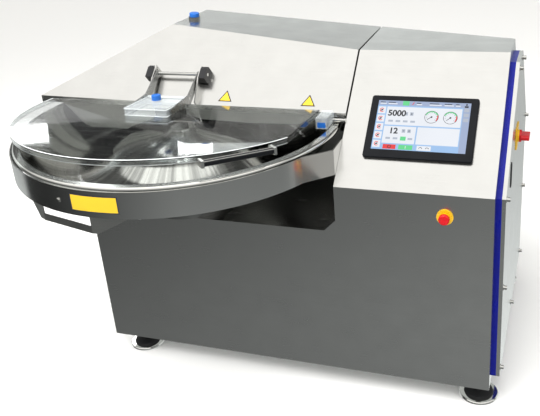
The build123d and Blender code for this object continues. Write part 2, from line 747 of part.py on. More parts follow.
def bowl_spindle():
    """Spindle that stands in the bearing housing and carries the bowl's boss."""
    spindle = rod_z(SPINDLE_R, LEDGE_Z - SPINDLE_TAIL, BOSS_Z + SPINDLE_IN, BOWL_X, BOWL_Y)
    return spindle + rod_z(SPINDLE_R + SPINDLE_COLLAR, BOSS_Z - HOUSING_GAP + PLAY, BOSS_Z, BOWL_X, BOWL_Y)


def bowl_bearing():
    """Housing bolted on the low cabinet's top, bored for the spindle."""
    top = BOSS_Z - HOUSING_GAP
    neck = HOUSING_R - HOUSING_NECK
    points = [(SPINDLE_R + RUNNING, LEDGE_Z), (HOUSING_FLANGE_R, LEDGE_Z)]
    points += [(HOUSING_FLANGE_R, LEDGE_Z + HOUSING_FLANGE_T), (HOUSING_R, LEDGE_Z + HOUSING_FLANGE_T)]
    points += [(neck, top - HOUSING_TAPER), (neck, top), (SPINDLE_R + RUNNING, top)]
    return turned(points, BOWL_X, BOWL_Y)


# ---- surround band ---------------------------------------------------------
def band_path(radius):
    """Plan of the band: round the bowl, then straight to the console, then along its side."""
    start = on_circle(radius, BAND_START)
    middle = on_circle(radius, 180)
    leave = on_circle(radius, BAND_TURN)
    heading = radians(BAND_TURN + 90)
    side = -(BAND_R - radius) - SIDE_GAP
    run = (side - leave[0]) / cos(heading)
    corner = (side, leave[1] + run * sin(heading))
    return [
        ThreePointArc(start, middle, leave),
        Line(leave, corner),
        Line(corner, (side, corner[1] + BAND_FOOT)),
    ]


def band_wall(outer, inner, z0, z1):
    """Upright wall between two such paths."""
    a, b = band_path(outer), band_path(inner)
    lines = a + b + [Line(a[0] @ 0, b[0] @ 0), Line(a[2] @ 1, b[2] @ 1)]
    return along_z(make_face(Curve() + lines), z0, z1)


def surround_band():
    """Band with a return flange turned in along its lower edge; its straight end dips."""
    start = on_circle(BAND_R, BAND_TURN)[0]
    far = BAND_R * 2
    wall = band_wall(BAND_R, BAND_R - BAND_T, BAND_LOW - BAND_DROP, BAND_TOP)
    side = outline([
        (BOWL_X - far, BAND_LOW), (start, BAND_LOW), (0, BAND_LOW - BAND_DROP),
        (0, BAND_TOP - BAND_DROP), (start, BAND_TOP), (BOWL_X - far, BAND_TOP),
    ])
    wall = wall & along_y(side, BOWL_Y - far, BOWL_Y + far)
    ring = Circle(BAND_R - BAND_T) - Circle(BAND_R - BAND_T - BAND_FLANGE)
    ring = along_z(Pos(BOWL_X, BOWL_Y) * ring, BAND_LOW, BAND_LOW + BAND_T)
    gap = outline([(BOWL_X, BOWL_Y), on_circle(far, BAND_TURN), (far, BOWL_Y), on_circle(far, BAND_START)])
    return wall + (ring - along_z(gap, BAND_LOW - 1, BAND_LOW + 2 * BAND_T))


def surround_ribs():
    """Plates that carry the band from the bowl's bearing housing, close under the trough."""
    under = TROUGH_ARC_R + BOWL_WALL + RIB_GAP
    seat = BAND_LOW + BAND_T
    inner = HOUSING_R - HOUSING_NECK
    flange_r = BAND_R - BAND_T - BAND_FLANGE
    low = SHAFT_Z - under

    def on_arc(angle):
        return (TROUGH_R + under * sin(radians(angle)), SHAFT_Z - under * cos(radians(angle)))

    lower = [
        (inner, low - RIB_GAP), (inner, low - RIB_DEPTH), (TROUGH_R, low - RIB_DEPTH / 2),
        on_arc(RIB_ARC / 2), (flange_r - 1, seat), (BAND_R, seat), (BAND_R, BAND_TOP - RIB_SET), on_arc(RIB_ARC),
    ]
    lower[3] = (lower[3][0], lower[3][1] - RIB_DEPTH / 2)
    upper = ThreePointArc(on_arc(RIB_ARC), on_arc(RIB_ARC / 2), on_arc(0))
    face = make_face(Curve() + [Polyline(*lower), upper, Line(on_arc(0), lower[0])])
    rib = extrude(Plane.XZ * face, RIB_T / 2, both=True) & rod_z(BAND_R - BAND_T, 0, BAND_TOP, 0, 0)
    return group([Pos(BOWL_X, BOWL_Y, 0) * Rot(0, 0, a) * rib for a in RIB_ANGLES])


def band_rivets():
    rivets = []
    for angle in RIVET_ANGLES:
        head = Pos(BAND_R, 0, RIVET_Z) * Rot(0, 90, 0) * Cylinder(RIVET_R, RIVET_H * 2)
        head -= rod_z(BAND_R, BAND_LOW, BAND_TOP, 0, 0)
        rivets.append(Pos(BOWL_X, BOWL_Y, 0) * Rot(0, 0, angle) * head)
    return group(rivets)


def grab_handle():
    """Folded strip under the band with a hand window, three flat runs."""
    corners = [on_circle(GRAB_R, a) for a in GRAB_ANGLES]
    inside = [on_circle(GRAB_R - GRAB_T, a) for a in GRAB_ANGLES]
    wall = along_z(outline(corners + inside[::-1]), GRAB_LOW, BAND_LOW)
    low = [on_circle(GRAB_R, a)[0] for a in GRAB_LOW_ANGLES]
    left, right = corners[0][0], corners[3][0]
    side = outline([(left, BAND_LOW), (low[0], GRAB_LOW), (low[1], GRAB_LOW), (right, BAND_LOW)])
    wall = wall & along_y(side, BOWL_Y - BAND_R, BOWL_Y)
    window_x = [corners[1][0], corners[2][0]]
    window = block(window_x[0], window_x[1], BOWL_Y - BAND_R, BOWL_Y - GRAB_R / 2,
                   GRAB_LOW + GRAB_BAR, BAND_LOW - 6)
    return wall - window


# ---- rear tower and hinge --------------------------------------------------
def rear_tower():
    """Housing behind the bowl that carries the hood's hinge."""
    right = -SIDE_GAP
    outer = block(TOWER_LEFT, right, TOWER_Y, DEPTH, LEDGE_Z, TOWER_TOP)
    inner = block(
        TOWER_LEFT + SHEET, right - SHEET, TOWER_Y + SHEET, DEPTH - SHEET, LEDGE_Z - 1, TOWER_TOP - SHEET
    )
    return outer - inner


def hinge_places():
    """Bracket and lug ranges in X at each hinge."""
    step = HINGE_LUG_T + HINGE_GAP
    return [(x, x + HINGE_LUG_T, x + step, x + step + HINGE_LUG_T) for x in HINGE_XS]


def hinge_brackets():
    brackets = []
    for x0, x1, _, _ in hinge_places():
        face = outline([
            (TOWER_Y + HINGE_SET, TOWER_TOP), (TOWER_Y + HINGE_FOOT, TOWER_TOP),
            (HINGE_Y + HINGE_LUG_R, HINGE_Z), (HINGE_Y, HINGE_Z),
            (TOWER_Y + HINGE_SET, TOWER_TOP + HINGE_EDGE),
        ])
        plate = along_x(face, x0, x1) + rod_x(HINGE_LUG_R, x0, x1, HINGE_Y, HINGE_Z)
        brackets.append(plate - rod_x(HINGE_PIN_R, x0 - 1, x1 + 1, HINGE_Y, HINGE_Z))
    return group(brackets)


def hinge_pins():
    return group([rod_x(HINGE_PIN_R, x0, x3, HINGE_Y, HINGE_Z) for x0, _, _, x3 in hinge_places()])


def hood_lugs():
    lugs = []
    for _, _, x2, x3 in hinge_places():
        face = outline([
            (HOOD_REAR_Y, HINGE_Z - LUG_DROP), (HINGE_Y, HINGE_Z - HINGE_LUG_R),
            (HINGE_Y, HINGE_Z + HINGE_LUG_R), (HOOD_REAR_Y, HINGE_Z + HINGE_LUG_R - 1),
        ])
        lug = along_x(face, x2, x3) + rod_x(HINGE_LUG_R, x2, x3, HINGE_Y, HINGE_Z)
        lug -= rod_x(HINGE_PIN_R + RUNNING, x2 - 1, x3 + 1, HINGE_Y, HINGE_Z)
        lugs.append(lug)
    return group(lugs)


# ---- hood ------------------------------------------------------------------
def hood_body(inset):
    """The hood as a solid block, its walls and faces moved in by inset."""
    lip_right, lip_left = lean(-HOOD_GAP, HOOD_LIP_S), lean(-HOOD_REACH, HOOD_LIP_S + HOOD_LIP_RISE)
    crest_right, crest_left = lean(-HOOD_GAP, LEAN), lean(CREST_LEFT_X, LEAN + CREST_RISE)
    rear_left = Vector(ROOF_LEFT_X, HOOD_REAR_Y, crest_left.Z)
    base = outline([
        (lip_right.X, lip_right.Y), (lip_left.X, lip_left.Y), (-HOOD_REACH, HOOD_SIDE_Y),
        (HOOD_REAR_LEFT_X, HOOD_REAR_Y), (-HOOD_GAP, HOOD_REAR_Y),
    ])
    if inset:
        base = offset(base, -inset, kind=Kind.INTERSECTION)
    body = along_z(base, HOOD_BASE_Z - inset, ROOF_Z + 2 * CREST_RISE)
    lean_normal = Vector(0, -UP_Z, UP_Y)
    roof_normal = (Vector(0, 1, 0)).cross(crest_left - crest_right).normalized()
    side_normal = (rear_left - crest_left).cross(lip_left - crest_left).normalized()
    faces = ((crest_right, lean_normal), (crest_right, roof_normal), (crest_left, side_normal))
    for point, normal in faces:
        normal = normal if normal.Z > 0 else normal * -1
        body = below(body, point - normal * inset, normal)
    return body


def hood_shell():
    shell = hood_body(0) - hood_body(SHEET)
    low = HOOD_BASE_Z - 1
    slot = block(-HOOD_GAP - 2 * SHEET, 0, ARM_SLOT_Y, HOOD_REAR_Y + 1, low, ARM_SLOT_Z)
    left = HOOD_REAR_LEFT_X + 20
    rear = block(left, 0, HOOD_REAR_Y - 2 * SHEET, HOOD_REAR_Y + 1, low, REAR_SKIRT_Z)
    return shell - slot - rear


def hood_baffle():
    """Plates behind the lip that hang down into the trough, left and right of the hub."""
    right, left = lean(-HOOD_GAP, HOOD_LIP_S), lean(-HOOD_REACH, HOOD_LIP_S + HOOD_LIP_RISE)
    run = Vector(right.X - left.X, right.Y - left.Y, 0).normalized()
    plane = Plane(origin=(right.X, right.Y, 0), x_dir=run, z_dir=run.cross(Vector(0, 0, 1)))
    top = right.Z - 2
    axis = (BOWL_X - right.X) / run.X
    plates = []
    for side, edge in ((-1, BAFFLE_LEFT), (1, BAFFLE_RIGHT)):
        low = [(axis + side * (TROUGH_R + u), SHAFT_Z - drop) for u, drop in edge]
        face = outline([(low[0][0], top)] + low + [(low[-1][0], top)])
        plates.append(Pos(-plane.z_dir * SHEET) * extrude(plane * face, -BAFFLE_T))
    return group(plates)


def roof_height(x):
    """Height of the hood's roof at x."""
    crest_left = lean(CREST_LEFT_X, LEAN + CREST_RISE)
    share = (-HOOD_GAP - x) / (-HOOD_GAP - CREST_LEFT_X)
    return ROOF_Z + (crest_left.Z - ROOF_Z) * share


def on_roof(shape):
    """Stand a piece, drawn about the origin, square on the hood's roof at the port."""
    tilt = degrees(atan2(roof_height(CREST_LEFT_X) - ROOF_Z, -CREST_LEFT_X - HOOD_GAP))
    return Pos(PORT_X, PORT_Y, roof_height(PORT_X)) * Rot(0, tilt, 0) * shape


def hood_port():
    neck = rod_z(PORT_R, 0, PORT_H, 0, 0) - rod_z(PORT_STEM_R + RUNNING, PORT_FLOOR, PORT_H + 1, 0, 0)
    return on_roof(neck)


def port_cap():
    cap = rod_z(PORT_CAP_R, PORT_H + PLAY, PORT_H + PORT_CAP_H, 0, 0)
    cap = fillet(cap.faces().sort_by(Axis.Z)[-1].edges(), PORT_CAP_EDGE)
    return on_roof(cap + rod_z(PORT_STEM_R, 2 * PORT_FLOOR, PORT_H + 1, 0, 0))


# ---- knife arm and knives --------------------------------------------------
def knife_arm():
    """Cast arm with a flat underside over the bowl's rim, bored for the knife shaft."""
    half = ARM_W / 2
    face = outline([
        (SHAFT_Y - half, SHAFT_Z - ARM_LOW), (SHAFT_Y + half, SHAFT_Z - ARM_LOW),
        (SHAFT_Y + half, SHAFT_Z + ARM_TOP * 0.45), (SHAFT_Y + half * 0.5, SHAFT_Z + ARM_TOP),
        (SHAFT_Y - half * 0.5, SHAFT_Z + ARM_TOP), (SHAFT_Y - half, SHAFT_Z + ARM_TOP * 0.45),
    ])
    arm = along_x(face, ARM_END_X, -ARM_FLANGE_T)
    arm += rod_x(ARM_FLANGE_R, -ARM_FLANGE_T, 0, SHAFT_Y, SHAFT_Z)
    arm += rod_x(NOSE_R, ARM_END_X - NOSE_L, ARM_END_X, SHAFT_Y, SHAFT_Z)
    return arm - rod_x(SHAFT_R + RUNNING, ARM_END_X - NOSE_L - 1, 1, SHAFT_Y, SHAFT_Z)


def stack_start():
    """Left end of the knife stack, centred over the bowl's axis."""
    return BOWL_X - (KNIFE_COUNT * KNIFE_T + (KNIFE_COUNT + 1) * SPACER_T) / 2


def stack_end():
    return stack_start() + KNIFE_COUNT * KNIFE_T + (KNIFE_COUNT + 1) * SPACER_T


def knife_shaft():
    """Ground shaft with a shoulder behind the knives and a grooved pulley inside the console."""
    shaft = rod_x(SHAFT_R, stack_start() - NUT_T - THREAD_STANDS, SHAFT_TAIL_X, SHAFT_Y, SHAFT_Z)
    collar_x = ARM_END_X - NOSE_L - PLAY
    shaft += rod_x(NOSE_R, stack_end(), collar_x, SHAFT_Y, SHAFT_Z)
    right = SHAFT_TAIL_X - PULLEY_SET
    left = right - PULLEY_W
    pulley = rod_x(PULLEY_R, left, right, SHAFT_Y, SHAFT_Z)
    pitch = PULLEY_W / (PULLEY_GROOVES + 1)
    high = PULLEY_R + 1
    low = PULLEY_R - GROOVE_DEPTH
    for i in range(PULLEY_GROOVES):
        x = left + pitch * (i + 1)
        ring = outline([
            (x - GROOVE_HALF_TOP, high), (x + GROOVE_HALF_TOP, high),
            (x + GROOVE_HALF_ROOT, low), (x - GROOVE_HALF_ROOT, low),
        ])
        groove = revolve(Plane.XZ * ring, Axis.X)
        pulley -= Pos(0, SHAFT_Y, SHAFT_Z) * groove
    return shaft + pulley


def polar(radius, angle):
    return (radius * cos(radians(angle)), radius * sin(radians(angle)))


def knife_blade():
    """One sickle knife: curved cutting edge, hollow back and bored hub."""
    start, end = polar(SPACER_R, EDGE_START), polar(SPACER_R, BACK_END)
    tip, notch = polar(KNIFE_R, EDGE_TIP), polar(KNIFE_R - TIP_NOTCH, BACK_TIP)
    edge = [
        ThreePointArc(start, polar(KNIFE_R * EDGE_MID_SHARE, EDGE_MID), tip),
        Line(tip, notch),
        ThreePointArc(notch, polar(KNIFE_R * BACK_MID_SHARE, BACK_MID), end),
        Line(end, start),
    ]
    face = (make_face(Curve() + edge) & Circle(KNIFE_R)) + Circle(SPACER_R)
    return along_x(face - Circle(SHAFT_R), 0, KNIFE_T)


def knives():
    """Opposite pairs of knives, each pair turned on from the one before."""
    blades = []
    for i in range(KNIFE_COUNT):
        x = stack_start() + SPACER_T + i * (KNIFE_T + SPACER_T)
        turn = 180 * (i % 2) + KNIFE_STEP * (i // 2)
        blades.append(Pos(x, SHAFT_Y, SHAFT_Z) * Rot(turn, 0, 0) * knife_blade())
    return group(blades)


def knife_spacers():
    rings = []
    for i in range(KNIFE_COUNT + 1):
        x = stack_start() + i * (KNIFE_T + SPACER_T)
        ring = Circle(SPACER_R) - Circle(SHAFT_R)
        rings.append(along_x(Pos(SHAFT_Y, SHAFT_Z) * ring, x, x + SPACER_T))
    return group(rings)


def knife_nut():
    x1 = stack_start()
    nut = extrude(Plane.YZ.offset(x1 - NUT_T) * Pos(SHAFT_Y, SHAFT_Z) * RegularPolygon(NUT_R, 6), NUT_T)
    return nut - rod_x(SHAFT_R, x1 - NUT_T - 1, x1 + 1, SHAFT_Y, SHAFT_Z)


# ---- lid stands on the hood ------------------------------------------------
def stand_ranges():
    """X ranges of the left and right stand plates."""
    return [(BAR_LEFT - STAND_T, BAR_LEFT), (BAR_RIGHT, BAR_RIGHT + STAND_T)]


def block_ranges():
    (left, _), (_, right) = stand_ranges()
    return [(left - BLOCK_W, left), (right, right + BLOCK_W)]


def lid_bore(x0, x1, radius):
    return rod_x(radius, x0, x1, LID_AXIS.Y, LID_AXIS.Z)


def on_lean(points):
    """(s, n) points of the leaning panel as (y, z)."""
    return [(lean(0, s, n).Y, lean(0, s, n).Z) for s, n in points]


def lid_stands():
    """Strip plates that stand on the hood's leaning face and hold the bearing blocks."""
    foot = LID_AXIS_S - STAND_LENGTH + STAND_IN
    brow = BLOCK_H - STAND_SHY
    face = outline(on_lean([
        (foot, 0), (LID_AXIS_S + BLOCK_L / 2, 0), (LID_AXIS_S + BLOCK_L / 2, brow),
        (LID_AXIS_S - BLOCK_L / 2, brow), (foot, STAND_TOE),
    ]))
    bore = BAR_R + STAND_PLAY
    return group([along_x(face, x0, x1) - lid_bore(x0 - 1, x1 + 1, bore) for x0, x1 in stand_ranges()])


def stand_blocks():
    """Black bearing blocks outside the stands, bored for the lid's bar."""
    low, high = LID_AXIS_S - BLOCK_L / 2, LID_AXIS_S + BLOCK_L / 2
    face = outline(on_lean([
        (low, BLOCK_CUT), (low + BLOCK_CUT, 0), (high, 0), (high, BLOCK_H - BLOCK_SLOPE_H),
        (high - BLOCK_SLOPE_L, BLOCK_H), (low, BLOCK_H),
    ]))
    bore = BAR_R + RUNNING
    return group([along_x(face, x0, x1) - lid_bore(x0 - 1, x1 + 1, bore) for x0, x1 in block_ranges()])


def stand_screws():
    """Two round-headed screws through each stand plate, on the side that faces the arms."""
    heads = []
    for side, (x0, x1) in zip((1, -1), stand_ranges()):
        face_x = x1 if side > 0 else x0
        for s in (LID_AXIS_S - STAND_SCREW_S, LID_AXIS_S + STAND_SCREW_S):
            p = lean(0, s, LID_AXIS_N)
            ends = sorted((face_x, face_x + STAND_SCREW_H * side))
            heads.append(rod_x(STAND_SCREW_R, ends[0], ends[1], p.Y, p.Z))
    return group(heads)


# ---- lid -------------------------------------------------------------------
def lid_disc(inset, z0, z1):
    """Part of a disc in front of the lid's straight rear edge and left of its cut right end."""
    disc = rod_z(LID_R - inset, z0, z1, BOWL_X, BOWL_Y)
    far = 2 * LID_R
    rear = block(BOWL_X - far, BOWL_X + far, LID_REAR_Y, BOWL_Y + far, z0 - 1, z1 + 1)
    end = block(LID_RIGHT_X - inset, BOWL_X + far, BOWL_Y - far, BOWL_Y + far, z0 - 1, z1 + 1)
    return disc - rear - end


def lid_sheet():
    """Clear sheet with its round edge turned down, and an opening for the hatch."""
    sheet = lid_disc(0, LID_Z, LID_Z + LID_T)
    rim = lid_disc(0, LID_Z - LID_RIM, LID_Z) - lid_disc(LID_T, LID_Z - LID_RIM - 1, LID_Z)
    half = HATCH_W / 2 - HATCH_WALL
    hole = block(HATCH_X - half, HATCH_X + half, HATCH_FRONT + HATCH_WALL, HATCH_REAR - HATCH_WALL,
                 LID_Z - 1, LID_Z + LID_T + 1)
    return tipped(sheet + rim - hole)


def hatch_frame():
    """Clear upstand round the hatch opening."""
    z0, z1 = LID_Z + LID_T, LID_Z + LID_T + HATCH_H
    half = HATCH_W / 2
    outer = block(HATCH_X - half, HATCH_X + half, HATCH_FRONT, HATCH_REAR, z0, z1)
    inner = block(HATCH_X - half + HATCH_WALL, HATCH_X + half - HATCH_WALL, HATCH_FRONT + HATCH_WALL,
                  HATCH_REAR - HATCH_WALL, z0 - 1, z1 + 1)
    return tipped(outer - inner)


def hatch_axis():
    """Hinge line of the hatch cover, before the lid is tipped."""
    return (HATCH_REAR + ROD_R + ROD_SET, LID_Z + LID_T + HATCH_H + COVER_T / 2)


def arm_ranges():
    """X ranges of the lid's two arms, just outside the hatch frame."""
    side = HATCH_W / 2 + ARM_GAP
    return [(HATCH_X - side - ARM_T, HATCH_X - side), (HATCH_X + side, HATCH_X + side + ARM_T)]


def lid_arms():
    """Arm plates from the hinge bar down to the sheet, either side of the hatch."""
    y, z = LID_AXIS.Y, LID_AXIS.Z
    top = LID_Z + LID_T
    rod_y_place, rod_z_place = hatch_axis()
    face = outline([
        (y + ARM_EYE_HALF, z - ARM_EYE_LOW), (y + ARM_EYE_HALF, z + ARM_EYE_HIGH),
        (y - ARM_BROW_S, z + ARM_BROW_H), (rod_y_place - ARM_BEND_S, rod_z_place + ARM_BEND_H),
        (HATCH_FRONT + ARM_TOE, top + HATCH_H), (HATCH_FRONT + ARM_TOE, top), (LID_REAR_Y - ARM_HEEL, top),
    ])
    arms = []
    for x0, x1 in arm_ranges():
        arm = along_x(face, x0, x1) - lid_bore(x0 - 1, x1 + 1, BAR_R)
        arms.append(arm - rod_x(ROD_R, x0 - 1, x1 + 1, rod_y_place, rod_z_place))
    return tipped(group(arms))


def lid_bar():
    (left, _), (_, right) = block_ranges()
    return tipped(lid_bore(left, right, BAR_R))


def grip_frame():
    """The lid grip's end points in plan, outside the sheet's edge."""
    (xa, ya), (xb, yb) = [on_circle(LID_R + GRIP_OUT, a) for a in GRIP_ANGLES]
    length = hypot(xb - xa, yb - ya)
    turn = degrees(atan2(yb - ya, xb - xa))
    return (xa + xb) / 2, (ya + yb) / 2, length, turn


def lid_grip():
    """Ribbed hand grip, a flat tube with rounded corners."""
    x, y, length, turn = grip_frame()
    z = LID_Z - GRIP_DROP
    face = Plane.YZ * RectangleRounded(GRIP_TUBE_W, GRIP_TUBE_H, GRIP_CORNER)
    body = extrude(face, length / 2 - BRACKET_T, both=True)
    count = int((length - GRIP_PLAIN) / GROOVE_PITCH)
    for i in range(count):
        rib_x = (i - (count - 1) / 2) * GROOVE_PITCH
        body -= Pos(rib_x, 0, GRIP_TUBE_H / 2) * Box(GROOVE_W, GRIP_TUBE_W + 2, 2 * GROOVE_T)
    return tipped(Pos(x, y, z) * Rot(0, 0, turn) * body)


def lid_brackets():
    """End brackets that hold the grip clear of the sheet's turned edge."""
    x, y, length, turn = grip_frame()
    z = LID_Z - GRIP_DROP
    brackets = []
    for side in (-1, 1):
        end = side * (length / 2 - BRACKET_T / 2)
        reach = GRIP_OUT + GRIP_TUBE_W + 2 * BRACKET_IN
        plate = Box(BRACKET_T, reach, GRIP_TUBE_H + 2 * BRACKET_OVER)
        plate = Pos(end, GRIP_OUT / 2 + BRACKET_IN, 0) * plate
        brackets.append(Pos(x, y, z) * Rot(0, 0, turn) * plate)
    edge = lid_disc(0, LID_Z - 3 * LID_RIM, LID_Z + LID_T)
    return tipped(group([bracket - edge for bracket in brackets]))


def hatch_cover():
    half = HATCH_W / 2
    z0 = LID_Z + LID_T + HATCH_H + PLAY
    y, z = hatch_axis()
    cover = block(HATCH_X - half, HATCH_X + half, HATCH_FRONT - COVER_LIP, y, z0, z0 + COVER_T)
    cover += rod_x(ROD_R + KNUCKLE_T, HATCH_X - half, HATCH_X + half, y, z)
    return tipped(cover - rod_x(ROD_R + RUNNING, HATCH_X - half - 1, HATCH_X + half + 1, y, z))


def hatch_rod():
    y, z = hatch_axis()
    (left, _), (_, right) = arm_ranges()
    return tipped(rod_x(ROD_R, left, right, y, z))


def hatch_knob():
    z0 = LID_Z + LID_T + HATCH_H + COVER_T + PLAY
    knob = rod_z(KNOB_R, z0, z0 + KNOB_H, HATCH_X - KNOB_LEFT, HATCH_REAR - KNOB_SET)
    knob = fillet(knob.faces().sort_by(Axis.Z)[-1].edges(), KNOB_EDGE)
    return tipped(knob)


# ---- lid switch, gland -----------------------------------------------------
def sensor_rod():
    return rod_x(SWITCH_ROD_R, -SWITCH_ROD_L, 0, ROD_Y, ROD_Z)


def switch_box():
    """Corners of the switch block on the rod's end."""
    x1, y1, z0 = -SWITCH_ROD_L, ROD_Y + SWITCH_ROD_R + SWITCH_STAND, RIM_Z + SWITCH_GAP
    return x1 - SWITCH_W, x1, y1 - SWITCH_D, y1, z0, z0 + SWITCH_H


def switch_pocket(front):
    """Space for the switch, from a front plane back to the block's middle."""
    x0, x1, y0, _, z0, _ = switch_box()
    top = z0 + SWITCH_H * POCKET_SHARE
    return block(x0 + POCKET_WALL, x1 - POCKET_WALL, front, y0 + SWITCH_D / 2, z0 + POCKET_FLOOR, top)


def sensor_block():
    """Clear block on the rod's end, with a pocket for the switch in its front."""
    x0, x1, y0, y1, z0, z1 = switch_box()
    return block(x0, x1, y0, y1, z0, z1) - switch_pocket(y0 - 1)


def sensor_insert():
    """Blue switch body in the block's pocket."""
    return switch_pocket(switch_box()[2])


def supply_gland():
    hexagon = Plane.XZ.offset(-DEPTH) * Pos(GLAND_X, GLAND_Z) * RegularPolygon(GLAND_R, 6)
    body = extrude(hexagon, -GLAND_L * GLAND_HEX_SHARE)
    body += rod_y(GLAND_R * GLAND_NECK_SHARE, DEPTH, DEPTH + GLAND_L, GLAND_X, GLAND_Z)
    return body - rod_y(GLAND_BORE_R, DEPTH - 1, DEPTH + GLAND_L + 1, GLAND_X, GLAND_Z)


PARTS = [
    cabinet_shell, base_frame, foot_bases, foot_boots, foot_studs,
    side_gasket, side_cover, side_screws, side_grip, rear_cover, rear_screws,
    isolator_plate, isolator_handle,
    hmi_bezel, hmi_screen, estop_ring, estop_button,
    bowl_shell, bowl_cap, bowl_spindle, bowl_bearing,
    surround_band, surround_ribs, band_rivets, grab_handle,
    rear_tower, hinge_brackets, hinge_pins, hood_lugs, hood_shell, hood_baffle, hood_port, port_cap,
    knife_arm, knife_shaft, knives, knife_spacers, knife_nut,
    lid_stands, stand_blocks, stand_screws,
    lid_sheet, hatch_frame, lid_arms, lid_bar, lid_grip, lid_brackets, hatch_cover, hatch_rod, hatch_knob,
    sensor_rod, sensor_block, sensor_insert, supply_gland,
]

os.makedirs("parts", exist_ok=True)
for part in PARTS:
    save(part.__name__, part())
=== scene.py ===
import bpy
from math import cos, radians, sin, sqrt
from mathutils import Matrix, Vector


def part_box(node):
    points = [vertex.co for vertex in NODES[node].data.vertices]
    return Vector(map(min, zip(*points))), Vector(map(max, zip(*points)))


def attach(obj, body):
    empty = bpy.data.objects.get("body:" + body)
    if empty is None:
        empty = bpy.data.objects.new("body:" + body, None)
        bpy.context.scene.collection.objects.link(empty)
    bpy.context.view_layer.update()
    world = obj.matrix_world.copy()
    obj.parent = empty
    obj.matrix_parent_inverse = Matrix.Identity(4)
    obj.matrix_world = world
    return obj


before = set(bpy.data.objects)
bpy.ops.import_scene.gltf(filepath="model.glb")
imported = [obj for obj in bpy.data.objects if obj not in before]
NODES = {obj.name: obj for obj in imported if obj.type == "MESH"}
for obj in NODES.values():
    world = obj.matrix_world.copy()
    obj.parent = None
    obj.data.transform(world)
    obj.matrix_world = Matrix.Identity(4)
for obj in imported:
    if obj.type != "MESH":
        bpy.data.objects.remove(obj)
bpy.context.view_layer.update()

# ---- sizes, in metres ------------------------------------------------------
MM = 0.001
CONSOLE_W = 580 * MM
CREASE_Z = 910 * MM
LEAN_RUN = 451 * MM       # the leaning panel goes this far back
LEAN_RISE = 393 * MM      # and this far up
FACE = 0.3 * MM           # how far a printed or lit surface stands off what carries it

CABINET_LOW, CABINET_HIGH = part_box("cabinet_shell")
CONSOLE_X = CABINET_HIGH[0] - CONSOLE_W
FRONT_Y = CABINET_LOW[1]
LEAN = sqrt(LEAN_RUN ** 2 + LEAN_RISE ** 2)
UP_Y, UP_Z = LEAN_RUN / LEAN, LEAN_RISE / LEAN


def machine(x, y, z):
    """Point given in mm from the console's left front edge on the floor."""
    return Vector((CONSOLE_X + x * MM, FRONT_Y + y * MM, z * MM))


def middle(node):
    """Middle of a CAD node's box."""
    low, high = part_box(node)
    return Vector([(a + b) / 2 for a, b in zip(low, high)])


# ---- finishes --------------------------------------------------------------
HANDLED = 90.0            # a patch left by a hand or a cloth is about this wide, in mm
SPOKE_WIDTH = 5.0              # the painted spokes of highlight and shade, from the hub to the rim, are this wide, in degrees
SPOKE_SHADE = 0.45        # share of the colour that the darkest spoke keeps: painted shade
SPOKE_HIGHLIGHT = 0.9       # how near the brightest spoke comes to the full colour: painted highlight
RIM_FROM, RIM_TO = -8.0, 4.0      # the buffed rim comes up between these, in mm from its radius
RING_SMOOTH, RING_ROUGH = 0.7, 1.4    # shares of the roughness on the smoothest and roughest tool rings
SHEET_CLEAN, SHEET_WIPED = 0.015, 0.07    # roughness of clear sheet between wipe marks and on them
WIPE_ASPECT = 12          # a wipe mark is this many times as long as wide
PIXEL_ROWS = 6.3          # mm; at this size the wave texture draws its rows 2 mm apart
PIXEL_DULL = 0.93         # share of the light left between two rows
BACKLIGHT = 90.0          # its brighter and darker areas are about this wide, in mm
BOWL = middle("bowl_cap")


def linear(colour):
    """Linear RGBA from an sRGB hex value such as "#8a8c8a"."""
    channels = [int(colour[i:i + 2], 16) / 255 for i in (1, 3, 5)]
    return [c / 12.92 if c <= 0.04045 else ((c + 0.055) / 1.055) ** 2.4 for c in channels] + [1.0]


def dimmed(colour, share):
    """Linear RGBA of an sRGB hex value with a share of its light."""
    return [c * share for c in linear(colour)[:3]] + [1.0]


def add_node(tree, kind, settings=None, values=None, links=None):
    """Add a node, set its properties and input values, and link its inputs."""
    node = tree.nodes.new(kind)
    for key, value in (settings or {}).items():
        setattr(node, key, value)
    for key, value in (values or {}).items():
        node.inputs[key].default_value = value
    for key, source in (links or {}).items():
        tree.links.new(source, node.inputs[key])
    return node


def blank(name, colour, roughness, metallic=0.0, inputs=None):
    """A material with its even values set; inputs are further ones of its shader."""
    material = bpy.data.materials.new(name)
    material.use_nodes = True
    tree = material.node_tree
    shader = tree.nodes["Principled BSDF"]
    even = {"Base Color": linear(colour), "Roughness": roughness, "Metallic": metallic}
    for key, value in {**even, **(inputs or {})}.items():
        shader.inputs[key].default_value = value
    material.diffuse_color = linear(colour)
    return material, tree, shader


